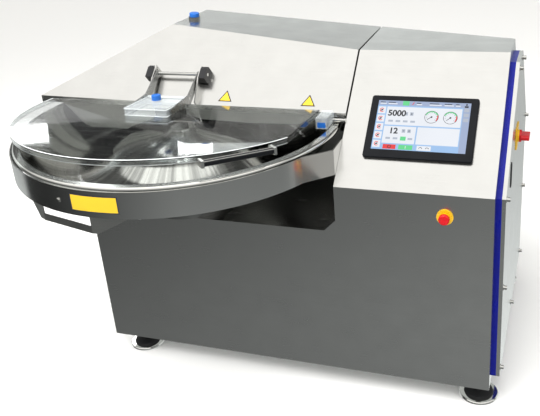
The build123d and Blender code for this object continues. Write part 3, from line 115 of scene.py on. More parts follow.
def surface(name, colour, roughness, grain, metallic=0.0, dull=0.86, spread=0.25, depth=0.04, inputs=None):
    """A material with the texture its making leaves and the patches that handling leaves.

    grain is the texture's size in mm along X, Y and Z. dull is the share of the colour that the duller
    patches keep, spread how far the roughness strays, and depth the height of the texture in mm.
    """
    material, tree, shader = blank(name, colour, roughness, metallic, inputs)
    place = add_node(tree, "ShaderNodeTexCoord").outputs["Object"]
    stretch = add_node(tree, "ShaderNodeMapping", values={"Scale": [1 / (size * MM) for size in grain]},
                       links={"Vector": place}).outputs["Vector"]
    texture = add_node(tree, "ShaderNodeTexNoise", values={"Scale": 1.0, "Detail": 4.0, "Roughness": 0.6},
                       links={"Vector": stretch}).outputs["Fac"]
    patches = add_node(tree, "ShaderNodeTexNoise", values={"Scale": 1 / (HANDLED * MM), "Detail": 3.0},
                       links={"Vector": place}).outputs["Fac"]
    amount = add_node(tree, "ShaderNodeMath", settings={"operation": "ADD"}, links={0: texture, 1: patches})
    share = add_node(tree, "ShaderNodeMapRange", values={"From Min": 0.7, "From Max": 1.3},
                     links={"Value": amount.outputs["Value"]}).outputs["Result"]
    tint = add_node(tree, "ShaderNodeMixRGB",
                    values={"Color1": dimmed(colour, dull), "Color2": linear(colour)}, links={"Fac": share})
    tree.links.new(tint.outputs["Color"], shader.inputs["Base Color"])
    rough = add_node(tree, "ShaderNodeMapRange",
                     values={"To Min": roughness * (1 + spread), "To Max": roughness * (1 - spread)},
                     links={"Value": share})
    tree.links.new(rough.outputs["Result"], shader.inputs["Roughness"])
    bump = add_node(tree, "ShaderNodeBump", values={"Strength": 0.5, "Distance": depth * MM},
                    links={"Height": texture})
    tree.links.new(bump.outputs["Normal"], shader.inputs["Normal"])
    return material


def turned_with_painted_spokes(name, colour, roughness, axis, feed, polished):
    """Metal cut on a lathe about an upright axis: tool rings, feed mm apart, that draw lights out along the
    radius.

    Brighter and darker spokes are painted into its colour as painted highlight and shade, up to the
    polished radius in mm, where a buffed rim starts at full colour.
    """
    material, tree, shader = blank(name, colour, roughness, 1.0, {"Anisotropic": 0.85})
    place = add_node(tree, "ShaderNodeTexCoord").outputs["Object"]
    offset = add_node(tree, "ShaderNodeVectorMath", settings={"operation": "SUBTRACT"},
                      values={1: (axis.x, axis.y, 0.0)}, links={0: place}).outputs["Vector"]
    flat = add_node(tree, "ShaderNodeVectorMath", settings={"operation": "MULTIPLY"},
                    values={1: (1.0, 1.0, 0.0)}, links={0: offset}).outputs["Vector"]
    around = add_node(tree, "ShaderNodeVectorMath", settings={"operation": "CROSS_PRODUCT"},
                      values={1: (0.0, 0.0, 1.0)}, links={0: flat}).outputs["Vector"]
    tree.links.new(around, shader.inputs["Tangent"])
    radius = add_node(tree, "ShaderNodeVectorMath", settings={"operation": "LENGTH"},
                      links={0: flat}).outputs["Value"]
    rings = add_node(tree, "ShaderNodeTexNoise", settings={"noise_dimensions": "1D"},
                     values={"Scale": 1 / (feed * MM), "Detail": 3.0}, links={"W": radius}).outputs["Fac"]
    rough = add_node(tree, "ShaderNodeMapRange",
                     values={"From Min": 0.3, "From Max": 0.7, "To Min": roughness * RING_SMOOTH,
                             "To Max": roughness * RING_ROUGH}, links={"Value": rings})
    tree.links.new(rough.outputs["Result"], shader.inputs["Roughness"])
    heading = add_node(tree, "ShaderNodeVectorMath", settings={"operation": "NORMALIZE"},
                       links={0: flat}).outputs["Vector"]
    # This noise paints the colour into bright and dark spokes around the axis: painted highlight and shade.
    spoke_noise = add_node(tree, "ShaderNodeTexNoise", values={"Scale": 1 / radians(SPOKE_WIDTH), "Detail": 3.0},
                       links={"Vector": heading}).outputs["Fac"]
    spokes = add_node(tree, "ShaderNodeMapRange",
                      values={"From Min": 0.38, "From Max": 0.58, "To Max": SPOKE_HIGHLIGHT},
                      links={"Value": spoke_noise}).outputs["Result"]
    rim = add_node(tree, "ShaderNodeMapRange",
                   values={"From Min": (polished + RIM_FROM) * MM, "From Max": (polished + RIM_TO) * MM},
                   links={"Value": radius}).outputs["Result"]
    share = add_node(tree, "ShaderNodeMath", settings={"operation": "MAXIMUM"}, links={0: spokes, 1: rim})
    tint = add_node(tree, "ShaderNodeMixRGB",
                    values={"Color1": dimmed(colour, SPOKE_SHADE), "Color2": linear(colour)},
                    links={"Fac": share.outputs["Value"]})
    tree.links.new(tint.outputs["Color"], shader.inputs["Base Color"])
    return material


def clear_sheet_plastic(name, colour, wipes):
    """Clear sheet: sharp reflections, dulled a little where cloths have wiped it, wipes mm long."""
    material, tree, shader = blank(name, colour, 0.03, inputs={"IOR": 1.58, "Transmission Weight": 1.0})
    width = wipes / WIPE_ASPECT
    place = add_node(tree, "ShaderNodeTexCoord").outputs["Object"]
    stretch = add_node(tree, "ShaderNodeMapping",
                       values={"Scale": [1 / (size * MM) for size in (wipes, width, width)]},
                       links={"Vector": place}).outputs["Vector"]
    streaks = add_node(tree, "ShaderNodeTexNoise", values={"Scale": 1.0, "Detail": 4.0},
                       links={"Vector": stretch}).outputs["Fac"]
    rough = add_node(tree, "ShaderNodeMapRange",
                     values={"From Min": 0.45, "From Max": 0.75,
                             "To Min": SHEET_CLEAN, "To Max": SHEET_WIPED},
                     links={"Value": streaks})
    tree.links.new(rough.outputs["Result"], shader.inputs["Roughness"])
    return material


def lit(name, colour, glow):
    """A lit part of the display: rows of pixels, 0.3 mm apart and drawn 2 mm, under one backlight."""
    material, tree, shader = blank(name, "#0c0e12", 0.22, inputs={"Emission Strength": glow})
    place = add_node(tree, "ShaderNodeTexCoord").outputs["Object"]
    rows = add_node(tree, "ShaderNodeTexWave", settings={"bands_direction": "Z"},
                    values={"Scale": 1 / (PIXEL_ROWS * MM), "Distortion": 0.0}, links={"Vector": place})
    backlight = add_node(tree, "ShaderNodeTexNoise", values={"Scale": 1 / (BACKLIGHT * MM), "Detail": 0.0},
                         links={"Vector": place})
    both = add_node(tree, "ShaderNodeMath", settings={"operation": "ADD"},
                    links={0: rows.outputs["Fac"], 1: backlight.outputs["Fac"]}).outputs["Value"]
    share = add_node(tree, "ShaderNodeMapRange", values={"From Min": 0.3, "From Max": 1.2},
                     links={"Value": both}).outputs["Result"]
    tint = add_node(tree, "ShaderNodeMixRGB",
                    values={"Color1": dimmed(colour, PIXEL_DULL), "Color2": linear(colour)},
                    links={"Fac": share})
    tree.links.new(tint.outputs["Color"], shader.inputs["Emission Color"])
    return material


# Cold-rolled AISI 304 sheet, belt-brushed: satin, with fine lines along the sheet that draw reflections
# out. A real line is 0.1 mm wide; it is drawn 1.5 mm wide so that it shows.
brushed_sheet = surface("brushed_stainless_sheet", "#d1d1cf", 0.25, (160, 1.5, 1.5), 1.0, dull=0.96,
                        spread=0.1, depth=0.01)
# The same sheet on the ribs and the hand grip, with the mill's own duller skin.
mill_sheet = surface("mill_finish_stainless", "#cbcbc8", 0.42, (70, 3, 3), 1.0, dull=0.88)
# Inner plates of the hood, ground to a pale satin that spreads the light it gets.
satin_sheet = surface("satin_ground_stainless", "#f6f6f2", 0.62, (70, 3, 3), 1.0, dull=0.96)
# Strip rolled round the bowl's support and brushed along its length, which stretches lights up and down.
rolled_band = surface("rolled_stainless_band", "#d1d1cf", 0.18, (80, 80, 1.5), 1.0, dull=0.93, depth=0.01)
# Turned and milled bar: close tool marks that glint, 0.2 mm apart and drawn 1 mm.
machined_steel = surface("machined_stainless_bar", "#a8a9a8", 0.28, (1, 6, 6), 1.0, dull=0.8, spread=0.35)
# Investment-cast stainless, bead-blasted: even fine pits of about 0.5 mm, drawn 1.5 mm.
cast_steel = surface("bead_blasted_casting", "#959694", 0.46, (1.5, 1.5, 1.5), 1.0, depth=0.15)
# Spun bowl, cut on the lathe and polished from the hub outwards, which draws lights out; bright and dark
# spokes are painted into its colour as painted highlight and shade.
bowl_steel = turned_with_painted_spokes("turned_bowl_painted_spokes", "#e6e6e2", 0.10, BOWL, 4.0, 634.0)
# Mirror-polished bar and fasteners: clear reflections with a few wiped smears.
polished_steel = surface("polished_stainless_bar", "#d6d6d3", 0.09, (12, 12, 12), 1.0, dull=0.92, spread=0.4)
# Blades ground across and honed: a bright face with short grinding lines.
blade_steel = surface("ground_blade_steel", "#c2c3c5", 0.17, (2, 40, 2), 1.0, spread=0.4)
# Nitrile rubber from a matt mould: near black, with dust in its pores, 0.4 mm and drawn 2 mm.
foot_rubber = surface("moulded_nitrile_rubber", "#17181a", 0.62, (2, 2, 2), dull=0.6, depth=0.1)
# Extruded silicone profile: even blue with a soft sheen and lint on it.
gasket_silicone = surface("extruded_blue_silicone", "#04128c", 0.30, (6, 6, 30), dull=0.75, depth=0.05,
                          inputs={"IOR": 1.41, "Specular IOR Level": 0.3})
# ABS from a spark-eroded mould: fine leather-like grain of 0.4 mm, drawn 1.2 mm.
black_abs = surface("textured_black_abs", "#0d0f13", 0.45, (1.2, 1.2, 1.2), dull=0.7,
                    inputs={"Specular IOR Level": 0.2})
# The same ABS where hands have worn the grain down: greyer, with a soft shine.
grip_abs = surface("worn_black_abs", "#15171b", 0.40, (1.2, 1.2, 1.2), dull=0.65)
# ABS from a smooth mould: strong even colour under a soft shine, with only a trace of flow in it.
yellow_abs = surface("moulded_yellow_abs", "#dcae10", 0.34, (1.5, 1.5, 1.5), dull=0.9)
red_abs = surface("moulded_red_abs", "#bd0b16", 0.24, (1.5, 1.5, 1.5), dull=0.88)
# Turned black acetal: smooth and slightly waxy with faint tool rings.
block_acetal = surface("turned_black_acetal", "#131417", 0.32, (1, 8, 8), dull=0.7)
# Moulded food-grade polyamide, in the blue that shows in meat if a chip comes off: even and half matt.
blue_polyamide = surface("moulded_blue_polyamide", "#1f63b8", 0.36, (2, 2, 2), dull=0.85)
# Extruded polycarbonate: see-through, with sharp reflections and faint long marks from wiping.
clear_sheet = clear_sheet_plastic("clear_polycarbonate_sheet", "#f4f8f8", 220.0)
# Clear acrylic box of the feed hatch, bonded from cut plate: its near-white colour at part cover paints a
# milky sheen on its edges and faces.
clear_box = surface("clear_acrylic_painted_sheen", "#e9f0f2", 0.08, (40, 8, 8), dull=0.9, spread=0.5, depth=0.0,
                    inputs={"IOR": 1.49, "Alpha": 0.30, "Specular IOR Level": 0.9})
# Cut edges of clear sheet, flame-polished: light that enters the sheet leaves here, and near-white beads
# paint that shine as painted highlight.
edge_highlight = surface("painted_sheet_edge_highlight", "#f6fafa", 0.18, (20, 20, 2), dull=0.85, depth=0.0)
# Ribbed aluminium grip, coloured near black as painted shade of its ribbed top between the bright rails,
# dull where the ribs are.
dark_grip_painted_shade = surface("ribbed_grip_painted_shade", "#1d1f22", 0.36, (1.5, 20, 1.5), 0.6, dull=0.7)
# Hardened cover glass over the display: near black when unlit, mirror-smooth with a few smears.
display_glass = surface("hardened_cover_glass", "#10141c", 0.10, (60, 60, 60), dull=0.9, spread=0.5,
                        depth=0.0)

FINISHES = {
    brushed_sheet: ("cabinet_shell", "rear_tower", "hood_shell", "side_cover", "lid_stands", "rear_cover"),
    mill_sheet: ("surround_ribs", "grab_handle"),
    satin_sheet: ("hood_baffle",),
    rolled_band: ("surround_band",),
    machined_steel: ("base_frame", "bowl_spindle", "hinge_brackets", "hinge_pins", "hood_lugs", "lid_arms",
                     "knife_spacers", "knife_nut", "hood_port", "supply_gland", "knife_shaft"),
    cast_steel: ("bowl_bearing", "knife_arm"),
    bowl_steel: ("bowl_shell", "bowl_cap"),
    polished_steel: ("foot_bases", "foot_studs", "lid_bar", "sensor_rod", "band_rivets", "stand_screws",
                     "side_screws", "rear_screws", "hatch_rod", "lid_brackets"),
    dark_grip_painted_shade: ("lid_grip",),
    blade_steel: ("knives",),
    foot_rubber: ("foot_boots",),
    gasket_silicone: ("side_gasket",),
    black_abs: ("hmi_bezel",),
    grip_abs: ("side_grip",),
    block_acetal: ("stand_blocks",),
    blue_polyamide: ("port_cap", "hatch_knob", "sensor_insert"),
    yellow_abs: ("isolator_plate", "estop_ring"),
    red_abs: ("isolator_handle", "estop_button"),
    display_glass: ("hmi_screen",),
    clear_sheet: ("lid_sheet",),
    clear_box: ("hatch_frame", "hatch_cover", "sensor_block"),
}
for material, nodes in FINISHES.items():
    for node in nodes:
        for slot in NODES[node].material_slots:
            slot.material = material


# ---- pieces ----------------------------------------------------------------
ACROSS = Vector((1, 0, 0))


def piece(name, points, faces, material, body="root", smooth=False):
    """Mesh object in the row frame that rides on a body."""
    mesh = bpy.data.meshes.new(name)
    mesh.from_pydata([tuple(p) for p in points], [], faces)
    mesh.update()
    for polygon in mesh.polygons:
        polygon.use_smooth = smooth
    thing = bpy.data.objects.new(name, mesh)
    bpy.context.scene.collection.objects.link(thing)
    mesh.materials.append(material)
    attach(thing, body)
    return thing


def line(name, points, radius, material, body, closed=False):
    """Thin round bead along points, in mm of radius, such as a polished edge."""
    curve = bpy.data.curves.new(name, "CURVE")
    curve.dimensions = "3D"
    curve.bevel_depth = radius * MM
    curve.bevel_resolution = 2
    spline = curve.splines.new("POLY")
    spline.points.add(len(points) - 1)
    for point, place in zip(spline.points, points):
        point.co = (*place, 1.0)
    spline.use_cyclic_u = closed
    thing = bpy.data.objects.new(name, curve)
    bpy.context.scene.collection.objects.link(thing)
    curve.materials.append(material)
    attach(thing, body)
    return thing


# ---- lid edges and grip ----------------------------------------------------
LID_X, LID_Y = -678.98, 163.0      # the bowl's axis, in mm from the console's corner
LID_R = 648.0
LID_TOP = 1121.0
LID_LIP = 1101.0                   # lower edge of the sheet's turned rim
LID_ENDS = (-27.8, -185.2)         # turns at which the round edge stops, in degrees
LID_STEPS = 72
LID_HINGE_S, LID_HINGE_N = 448.0, 24.0
LID_TIP = 4.3                      # degrees that the resting lid is tipped up
TOP_EDGE_IN, TOP_EDGE_R = 0.6, 1.3     # beads of painted highlight along the sheet's edges: how far in, and their radius
LIP_EDGE_IN, LIP_EDGE_R = 2.5, 1.6
HATCH_EDGE_R = 1.0
HATCH_X, HATCH_HALF = -754.98, 93.0
HATCH_FRONT, HATCH_REAR = 26.0, 210.0
HATCH_LOW, HATCH_HIGH = 1121.0, 1147.3
GRIP_R = 690.0
GRIP_ENDS = (-57.0, -35.0)
GRIP_HALF_W, GRIP_TOP = 8.6, 1113.0
RAIL_R = 1.7
RAIL_SHORT = 10.0                  # the rails stop this far from the grip's ends


def on_lid(x, y, z):
    """Point on the lid given in mm as it lies before it is tipped up."""
    hinge_y = LID_HINGE_S * UP_Y - LID_HINGE_N * UP_Z
    hinge_z = CREASE_Z / MM + LID_HINGE_S * UP_Z + LID_HINGE_N * UP_Y
    tip = radians(-LID_TIP)
    dy, dz = y - hinge_y, z - hinge_z
    return machine(x, hinge_y + dy * cos(tip) - dz * sin(tip), hinge_z + dy * sin(tip) + dz * cos(tip))


def around_lid(radius, turn, z):
    """Point on the lid at a radius from the bowl's axis, in mm, and a turn in degrees."""
    return on_lid(LID_X + radius * cos(radians(turn)), LID_Y + radius * sin(radians(turn)), z)


def lid_lines():
    """Beads of painted highlight along the cut edges of the lid and its hatch, and the bright rails along
    the grip.
    """
    first, last = LID_ENDS
    turns = [first + (last - first) * i / LID_STEPS for i in range(LID_STEPS + 1)]
    # Near-white beads on the lid's edges, and below on the hatch's, paint the shine of its cut edges:
    # painted highlight.
    line("lid_edge_highlight_top", [around_lid(LID_R - TOP_EDGE_IN, a, LID_TOP) for a in turns], TOP_EDGE_R,
         edge_highlight, "lid")
    line("lid_edge_highlight_lip", [around_lid(LID_R - LIP_EDGE_IN, a, LID_LIP) for a in turns], LIP_EDGE_R,
         edge_highlight, "lid")
    corners = [(HATCH_X + i * HATCH_HALF, y) for i, y in
               ((-1, HATCH_FRONT), (1, HATCH_FRONT), (1, HATCH_REAR), (-1, HATCH_REAR))]
    for name, z in (("low", HATCH_LOW), ("high", HATCH_HIGH)):
        line("hatch_edge_" + name, [on_lid(x, y, z) for x, y in corners], HATCH_EDGE_R, edge_highlight, "lid",
             closed=True)
    left, right = [around_lid(GRIP_R, a, GRIP_TOP) for a in GRIP_ENDS]
    along = (right - left).normalized()
    aside = along.cross(Vector((0, 0, 1))).normalized()
    short = along * RAIL_SHORT * MM
    for name, side in (("front", 1), ("rear", -1)):
        offset = aside * side * GRIP_HALF_W * MM
        line("grip_rail_" + name, [left + short + offset, right - short + offset], RAIL_R,
             polished_steel, "lid")


lid_lines()


# ---- display ---------------------------------------------------------------
SCREEN_LOW, SCREEN_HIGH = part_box("hmi_screen")
SCREEN_W = SCREEN_HIGH[0] - SCREEN_LOW[0]
NORMAL = Vector((0, -UP_Z, UP_Y))
UPWARD = Vector((0, UP_Y, UP_Z))
SCREEN_T = 3 * MM
SCREEN_H = (SCREEN_HIGH[2] - SCREEN_LOW[2] - SCREEN_T * UP_Y) / UP_Z
SCREEN_MID = middle("hmi_screen") + NORMAL * SCREEN_T / 2

DISPLAY_INKS = {
    "ground": lit("display_blue_ground", "#9dc4f0", 0.95),
    "deep": lit("display_slate_blue", "#a3b4d6", 0.9),
    "white": lit("display_white_field", "#f1f5fc", 0.92),
    "grey": lit("display_grey_key", "#b9c2d1", 0.9),
    "ink": lit("display_dark_ink", "#10131a", 0.9),
    "red": lit("display_red_key", "#ee2525", 0.95),
    "green": lit("display_green_key", "#5fdc8c", 0.95),
}
# Plain fields and keys as (ink, left, low, right, high, layer). Places on the display are shares of its
# width and height from its lower left corner, and a layer is how many times FACE it stands off.
FIELDS = (
    ("ground", 0.0, 0.0, 1.0, 1.0, 1), ("deep", 0.0, 0.9, 1.0, 1.0, 2), ("deep", 0.925, 0.0, 1.0, 0.9, 2),
    ("white", 0.105, 0.50, 0.915, 0.875, 2), ("white", 0.105, 0.13, 0.455, 0.475, 2),
    ("white", 0.47, 0.13, 0.915, 0.475, 2), ("green", 0.27, 0.905, 0.34, 0.995, 4),
    ("ink", 0.935, 0.905, 0.975, 0.94, 4), ("green", 0.30, 0.19, 0.36, 0.27, 5),
    ("red", 0.125, 0.015, 0.265, 0.105, 3), ("green", 0.295, 0.015, 0.445, 0.105, 3),
    ("white", 0.367, 0.035, 0.373, 0.085, 4), ("white", 0.49, 0.015, 0.64, 0.105, 3),
)
# Round marks as (ink, u, v, outer and inner radius in mm, first and last degree, layer, steps): a user's
# head, the stop key's ring and two lids.
RINGS = (
    ("ink", 0.955, 0.965, 3.5, 0, 0, 360, 4, 12), ("ink", 0.195, 0.06, 7, 4.6, 0, 360, 4, 16),
    ("ink", 0.53, 0.045, 7, 5, 10, 170, 4, 12), ("ink", 0.60, 0.045, 7, 5, 10, 170, 4, 12),
)
# Bars that stand for the status row's words, as (left, width), and how much shorter the dark ones are.
STATUS_BARS = ((0.02, 0.07), (0.11, 0.10), (0.42, 0.06), (0.56, 0.13), (0.72, 0.10), (0.84, 0.05))
PALE_BAR_LOW, PALE_BAR_HIGH = 0.925, 0.945
DARK_BAR_LOW, DARK_BAR_HIGH, DARK_BAR = 0.955, 0.97, 0.8
STATUS_STROKE = (0.375, 0.925, 60, 12 * MM, 3 * MM, 4)     # (u, v, turn, length, width, layer)
# Left key column: fields as above but from the key's middle height, how many, the lowest one and their
# spacing. Each key has a ring with a gap, a dot and a slanted stroke.
KEY_FIELD = ("white", 0.010, -0.072, 0.092, 0.072, 2)
KEYS, KEY_V, KEY_STEP = 5, 0.11, 0.172
KEY_MARK_U, KEY_RING_OUT, KEY_RING_IN, KEY_DOT_R = 0.051, 9 * MM, 6.2 * MM, 3.5 * MM
KEY_STROKE_U, KEY_STROKE_V, KEY_STROKE_L, KEY_STROKE_W = 0.038, -0.02, 11 * MM, 2.6 * MM
# Right key column.
SIDE_FIELD = ("grey", 0.935, 0.0, 0.988, 0.07, 3)
SIDE_KEYS, SIDE_V, SIDE_STEP = 3, 0.62, 0.10
# Set values: a less key and a more key with their bars, the more key's upright bar, and preset keys.
VALUE_ROWS = ((0.12, 0.68), (0.12, 0.33))
SIGN_FIELDS = (("grey", 0.185, 0.02, 0.222, 0.09, 3), ("ink", 0.196, 0.05, 0.211, 0.06, 4))
SIGN_STEP = 0.06
MORE_FIELD = ("ink", 0.261, 0.035, 0.266, 0.075, 4)
PRESET_FIELD = ("grey", 0.02, -0.12, 0.07, -0.08, 3)
PRESETS, PRESET_STEP = 4, 0.08
DIALS = ((0.60, 0.69, 215), (0.80, 0.69, 222))      # (u, v, the needle's turn in degrees)
DIAL_R = 25 * MM
DIAL_RIM_OUT, DIAL_RIM_IN = 26 * MM, 24.4 * MM
DIAL_ARC_OUT, DIAL_ARC_IN = 24.2 * MM, 20.5 * MM
DIAL_RED, DIAL_GREEN, DIAL_END = -40, 20, 160       # degrees at which the red and green arcs start, and end
TICK_END, TICK_STEP = 221, 26
TICK_R, TICK_L, TICK_W = 16.5 * MM, 3.5 * MM, 1.2 * MM
NEEDLE_L, NEEDLE_W, NEEDLE_BOSS_R = 18 * MM, 2.2 * MM, 3.5 * MM
NUMBERS = (("display_speed", "5000", 0.222, 0.735, 34 * MM),
           ("display_bowl_speed", "12", 0.215, 0.375, 33 * MM))
NUMBER_LAYER = 6
BOLDER = 0.032            # a digit's strokes widen by this share of its size


def on_screen(u, v, layer):
    """Point on the display: u and v run 0 to 1 from its lower left corner."""
    across = ACROSS * (u - 0.5) * SCREEN_W
    return SCREEN_MID + across + UPWARD * (v - 0.5) * SCREEN_H + NORMAL * (layer * FACE)


class Patches:
    """Flat patches of one finish on the display, gathered into one piece."""

    def __init__(self):
        self.points = []
        self.faces = []

    def rectangle(self, u0, v0, u1, v1, layer):
        """Upright rectangle between two opposite corners."""
        start = len(self.points)
        self.points += [on_screen(u, v, layer) for u, v in ((u0, v0), (u1, v0), (u1, v1), (u0, v1))]
        self.faces.append((start, start + 1, start + 2, start + 3))

    def arc(self, u, v, outer, inner, first, last, layer, steps=24):
        """Part of a ring, or a disc where inner is 0; radii are in metres."""
        start = len(self.points)
        centre = on_screen(u, v, layer)
        for i in range(steps + 1):
            angle = radians(first + (last - first) * i / steps)
            for radius in (inner, outer):
                self.points.append(centre + ACROSS * radius * cos(angle) + UPWARD * radius * sin(angle))
        for i in range(steps):
            a = start + 2 * i
            self.faces.append((a, a + 1, a + 3, a + 2))

    def stroke(self, u, v, turn, length, width, layer):
        """Thin bar from a point, such as a gauge's needle."""
        start = len(self.points)
        angle = radians(turn)
        along = (ACROSS * cos(angle) + UPWARD * sin(angle)) * length
        side = (UPWARD * cos(angle) - ACROSS * sin(angle)) * width / 2
        foot = on_screen(u, v, layer)
        self.points += [foot - side, foot + along - side, foot + along + side, foot + side]
        self.faces.append((start, start + 1, start + 2, start + 3))


def number(text, u, v, size, material, name):
    """Digits on the display, centred on a point."""
    curve = bpy.data.curves.new(name, "FONT")
    curve.body = text
    curve.size = size
    curve.align_x = "CENTER"
    curve.align_y = "CENTER"
    curve.offset = size * BOLDER
    thing = bpy.data.objects.new(name, curve)
    bpy.context.scene.collection.objects.link(thing)
    thing.data.materials.append(material)
    matrix = Matrix((ACROSS, UPWARD, NORMAL)).transposed().to_4x4()
    matrix.translation = on_screen(u, v, NUMBER_LAYER)
    thing.matrix_world = matrix
    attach(thing, "root")
    return thing


def field(patches, row, u=0.0, v=0.0):
    """One row of a table of fields, moved by u and v."""
    ink, left, low, right, high, layer = row
    patches[ink].rectangle(u + left, v + low, u + right, v + high, layer)


def value_row(patches, u, v):
    """Plain less and more keys beside a set value, and the preset keys under it."""
    for i in range(2):
        for row in SIGN_FIELDS:
            field(patches, row, u + SIGN_STEP * i, v)
    field(patches, MORE_FIELD, u, v)
    for i in range(PRESETS):
        field(patches, PRESET_FIELD, u + PRESET_STEP * i, v)


def dial(patches, u, v, needle):
    """Round gauge: dark rim, green working arc, red end, ticks and a needle."""
    patches["white"].arc(u, v, DIAL_R, 0, 0, 360, 3, steps=40)
    patches["ink"].arc(u, v, DIAL_RIM_OUT, DIAL_RIM_IN, 0, 360, 4, steps=40)
    patches["green"].arc(u, v, DIAL_ARC_OUT, DIAL_ARC_IN, DIAL_GREEN, DIAL_END, 4)
    patches["red"].arc(u, v, DIAL_ARC_OUT, DIAL_ARC_IN, DIAL_RED, DIAL_GREEN, 4, steps=8)
    for turn in range(DIAL_RED, TICK_END, TICK_STEP):
        across = cos(radians(turn)) * TICK_R / SCREEN_W
        up = sin(radians(turn)) * TICK_R / SCREEN_H
        patches["ink"].stroke(u + across, v + up, turn, TICK_L, TICK_W, 5)
    patches["ink"].stroke(u, v, needle, NEEDLE_L, NEEDLE_W, 5)
    patches["ink"].arc(u, v, NEEDLE_BOSS_R, 0, 0, 360, 5, steps=12)


def display():
    """Running page: key column, two set values, two dials, a status row, stop and start keys."""
    patches = {name: Patches() for name in DISPLAY_INKS}
    for row in FIELDS:
        field(patches, row)
    for ink, u, v, outer, inner, first, last, layer, steps in RINGS:
        patches[ink].arc(u, v, outer * MM, inner * MM, first, last, layer, steps)
    for i in range(KEYS):
        v = KEY_V + KEY_STEP * i
        field(patches, KEY_FIELD, 0.0, v)
        patches["red"].arc(KEY_MARK_U, v, KEY_RING_OUT, KEY_RING_IN, 40, 320, 3, steps=16)
        patches["ink"].stroke(KEY_STROKE_U, v + KEY_STROKE_V, 35, KEY_STROKE_L, KEY_STROKE_W, 4)
        patches["ink"].arc(KEY_MARK_U, v, KEY_DOT_R, 0, 0, 360, 4, steps=10)
    for i in range(SIDE_KEYS):
        field(patches, SIDE_FIELD, 0.0, SIDE_V + SIDE_STEP * i)
    for u, width in STATUS_BARS:
        patches["white"].rectangle(u, PALE_BAR_LOW, u + width, PALE_BAR_HIGH, 3)
        patches["ink"].rectangle(u, DARK_BAR_LOW, u + width * DARK_BAR, DARK_BAR_HIGH, 3)
    patches["red"].stroke(*STATUS_STROKE)
    for u, v in VALUE_ROWS:
        value_row(patches, u, v)
    for u, v, needle in DIALS:
        dial(patches, u, v, needle)
    for name, flat in patches.items():
        piece("display_" + name, flat.points, flat.faces, DISPLAY_INKS[name])
    for name, text, u, v, size in NUMBERS:
        number(text, u, v, size, DISPLAY_INKS["ink"], name)


display()


# ---- plates ----------------------------------------------------------------
# Stove enamel on thin plate: half glossy with a slight orange peel, 2 mm across.
label_yellow = surface("yellow_enamelled_plate", "#dcb51a", 0.38, (2, 2, 2), dull=0.93)
label_black = surface("black_enamelled_plate", "#17181b", 0.42, (2, 2, 2), dull=0.8)
label_navy = surface("dark_blue_enamelled_plate", "#1c2740", 0.42, (2, 2, 2), dull=0.8)

# Plates on the hood as (name, x, s), with x and s in mm as on_lean takes them.
TRIANGLES = (("hood_plate_left", -523, 356), ("hood_plate_right", -166, 350))
TRIANGLE_SIDE = 60
TRIANGLE_FIELD = 0.76              # the yellow field's side is this share of the plate's
PLATE_TURNS = (262.2, 278.0)       # band plate's ends around the bowl, in degrees
PLATE_LOW, PLATE_HIGH = 993, 1056
PLATE_EDGE = 3.5
PLATE_STEPS = 12


def on_lean(x, s, height):
    """Point on the leaning faces: x in mm from the console, s in mm up from the crease."""
    foot = machine(x, 0, 0)
    foot.z = CREASE_Z
    return foot + UPWARD * s * MM + NORMAL * height


def triangle(name, x, s):
    """Bare yellow triangle with a black edge on the hood's leaning face."""
    for suffix, share, height, material in (("edge", 1, FACE, label_black),
                                            ("field", TRIANGLE_FIELD, 2 * FACE, label_yellow)):
        radius = TRIANGLE_SIDE * share / sqrt(3)
        turns = [radians(90 + 120 * i) for i in range(3)]
        points = [on_lean(x + radius * cos(a), s + radius * sin(a), height) for a in turns]
        piece(f"{name}_{suffix}", points, [(0, 1, 2)], material, "hood")


for name, x, s in TRIANGLES:
    triangle(name, x, s)


def band_plate():
    """Bare yellow plate with a dark blue edge, curved to the band."""
    low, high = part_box("surround_band")
    radius = BOWL.y - low[1]
    for suffix, inset, height, material in (("edge", 0.0, FACE, label_navy),
                                            ("field", PLATE_EDGE, 2 * FACE, label_yellow)):
        turn = inset / (radius / MM)
        first, last = radians(PLATE_TURNS[0]) + turn, radians(PLATE_TURNS[1]) - turn
        reach = radius + height
        points, faces = [], []
        for i in range(PLATE_STEPS + 1):
            angle = first + (last - first) * i / PLATE_STEPS
            for z in ((PLATE_LOW + inset) * MM, (PLATE_HIGH - inset) * MM):
                points.append((BOWL.x + reach * cos(angle), BOWL.y + reach * sin(angle), z))
        for i in range(PLATE_STEPS):
            faces.append((2 * i, 2 * i + 2, 2 * i + 3, 2 * i + 1))
        piece(f"band_plate_{suffix}", points, faces, material, smooth=True)


band_plate()


# ---- studio ----------------------------------------------------------------
FLOOR_SIZE = 60.0                  # metres
# The sky as (height of the ray, brightness), in front of the machine and behind it.
FRONT_SKY = ((-1.0, 0.22), (-0.7, 0.34), (-0.55, 0.46), (-0.42, 0.24), (0.0, 0.25), (0.35, 0.7),
             (0.75, 1.40), (1.0, 1.55))
REAR_SKY = ((-1.0, 1.0), (-0.6, 1.05), (-0.35, 0.6), (0.0, 0.7), (0.24, 1.25), (0.42, 0.14), (0.9, 0.14),
            (1.0, 1.5))
WARM, COOL = (1.0, 0.985, 0.955), (0.96, 1.0, 0.985)
WARM_FROM = 0.3                    # the sky is warm above this height and cool below it
BEHIND_FROM, BEHIND_TO = 0.12, 0.24    # where the front sky gives way to the rear one, going back
# A shade low down on the left: where it starts and is whole, and how dark it gets.
LOW_FROM, LOW_TO = 0.3, -0.1
LEFT_FROM, LEFT_TO, LEFT_SHADE = 0.3, -0.9, 0.85
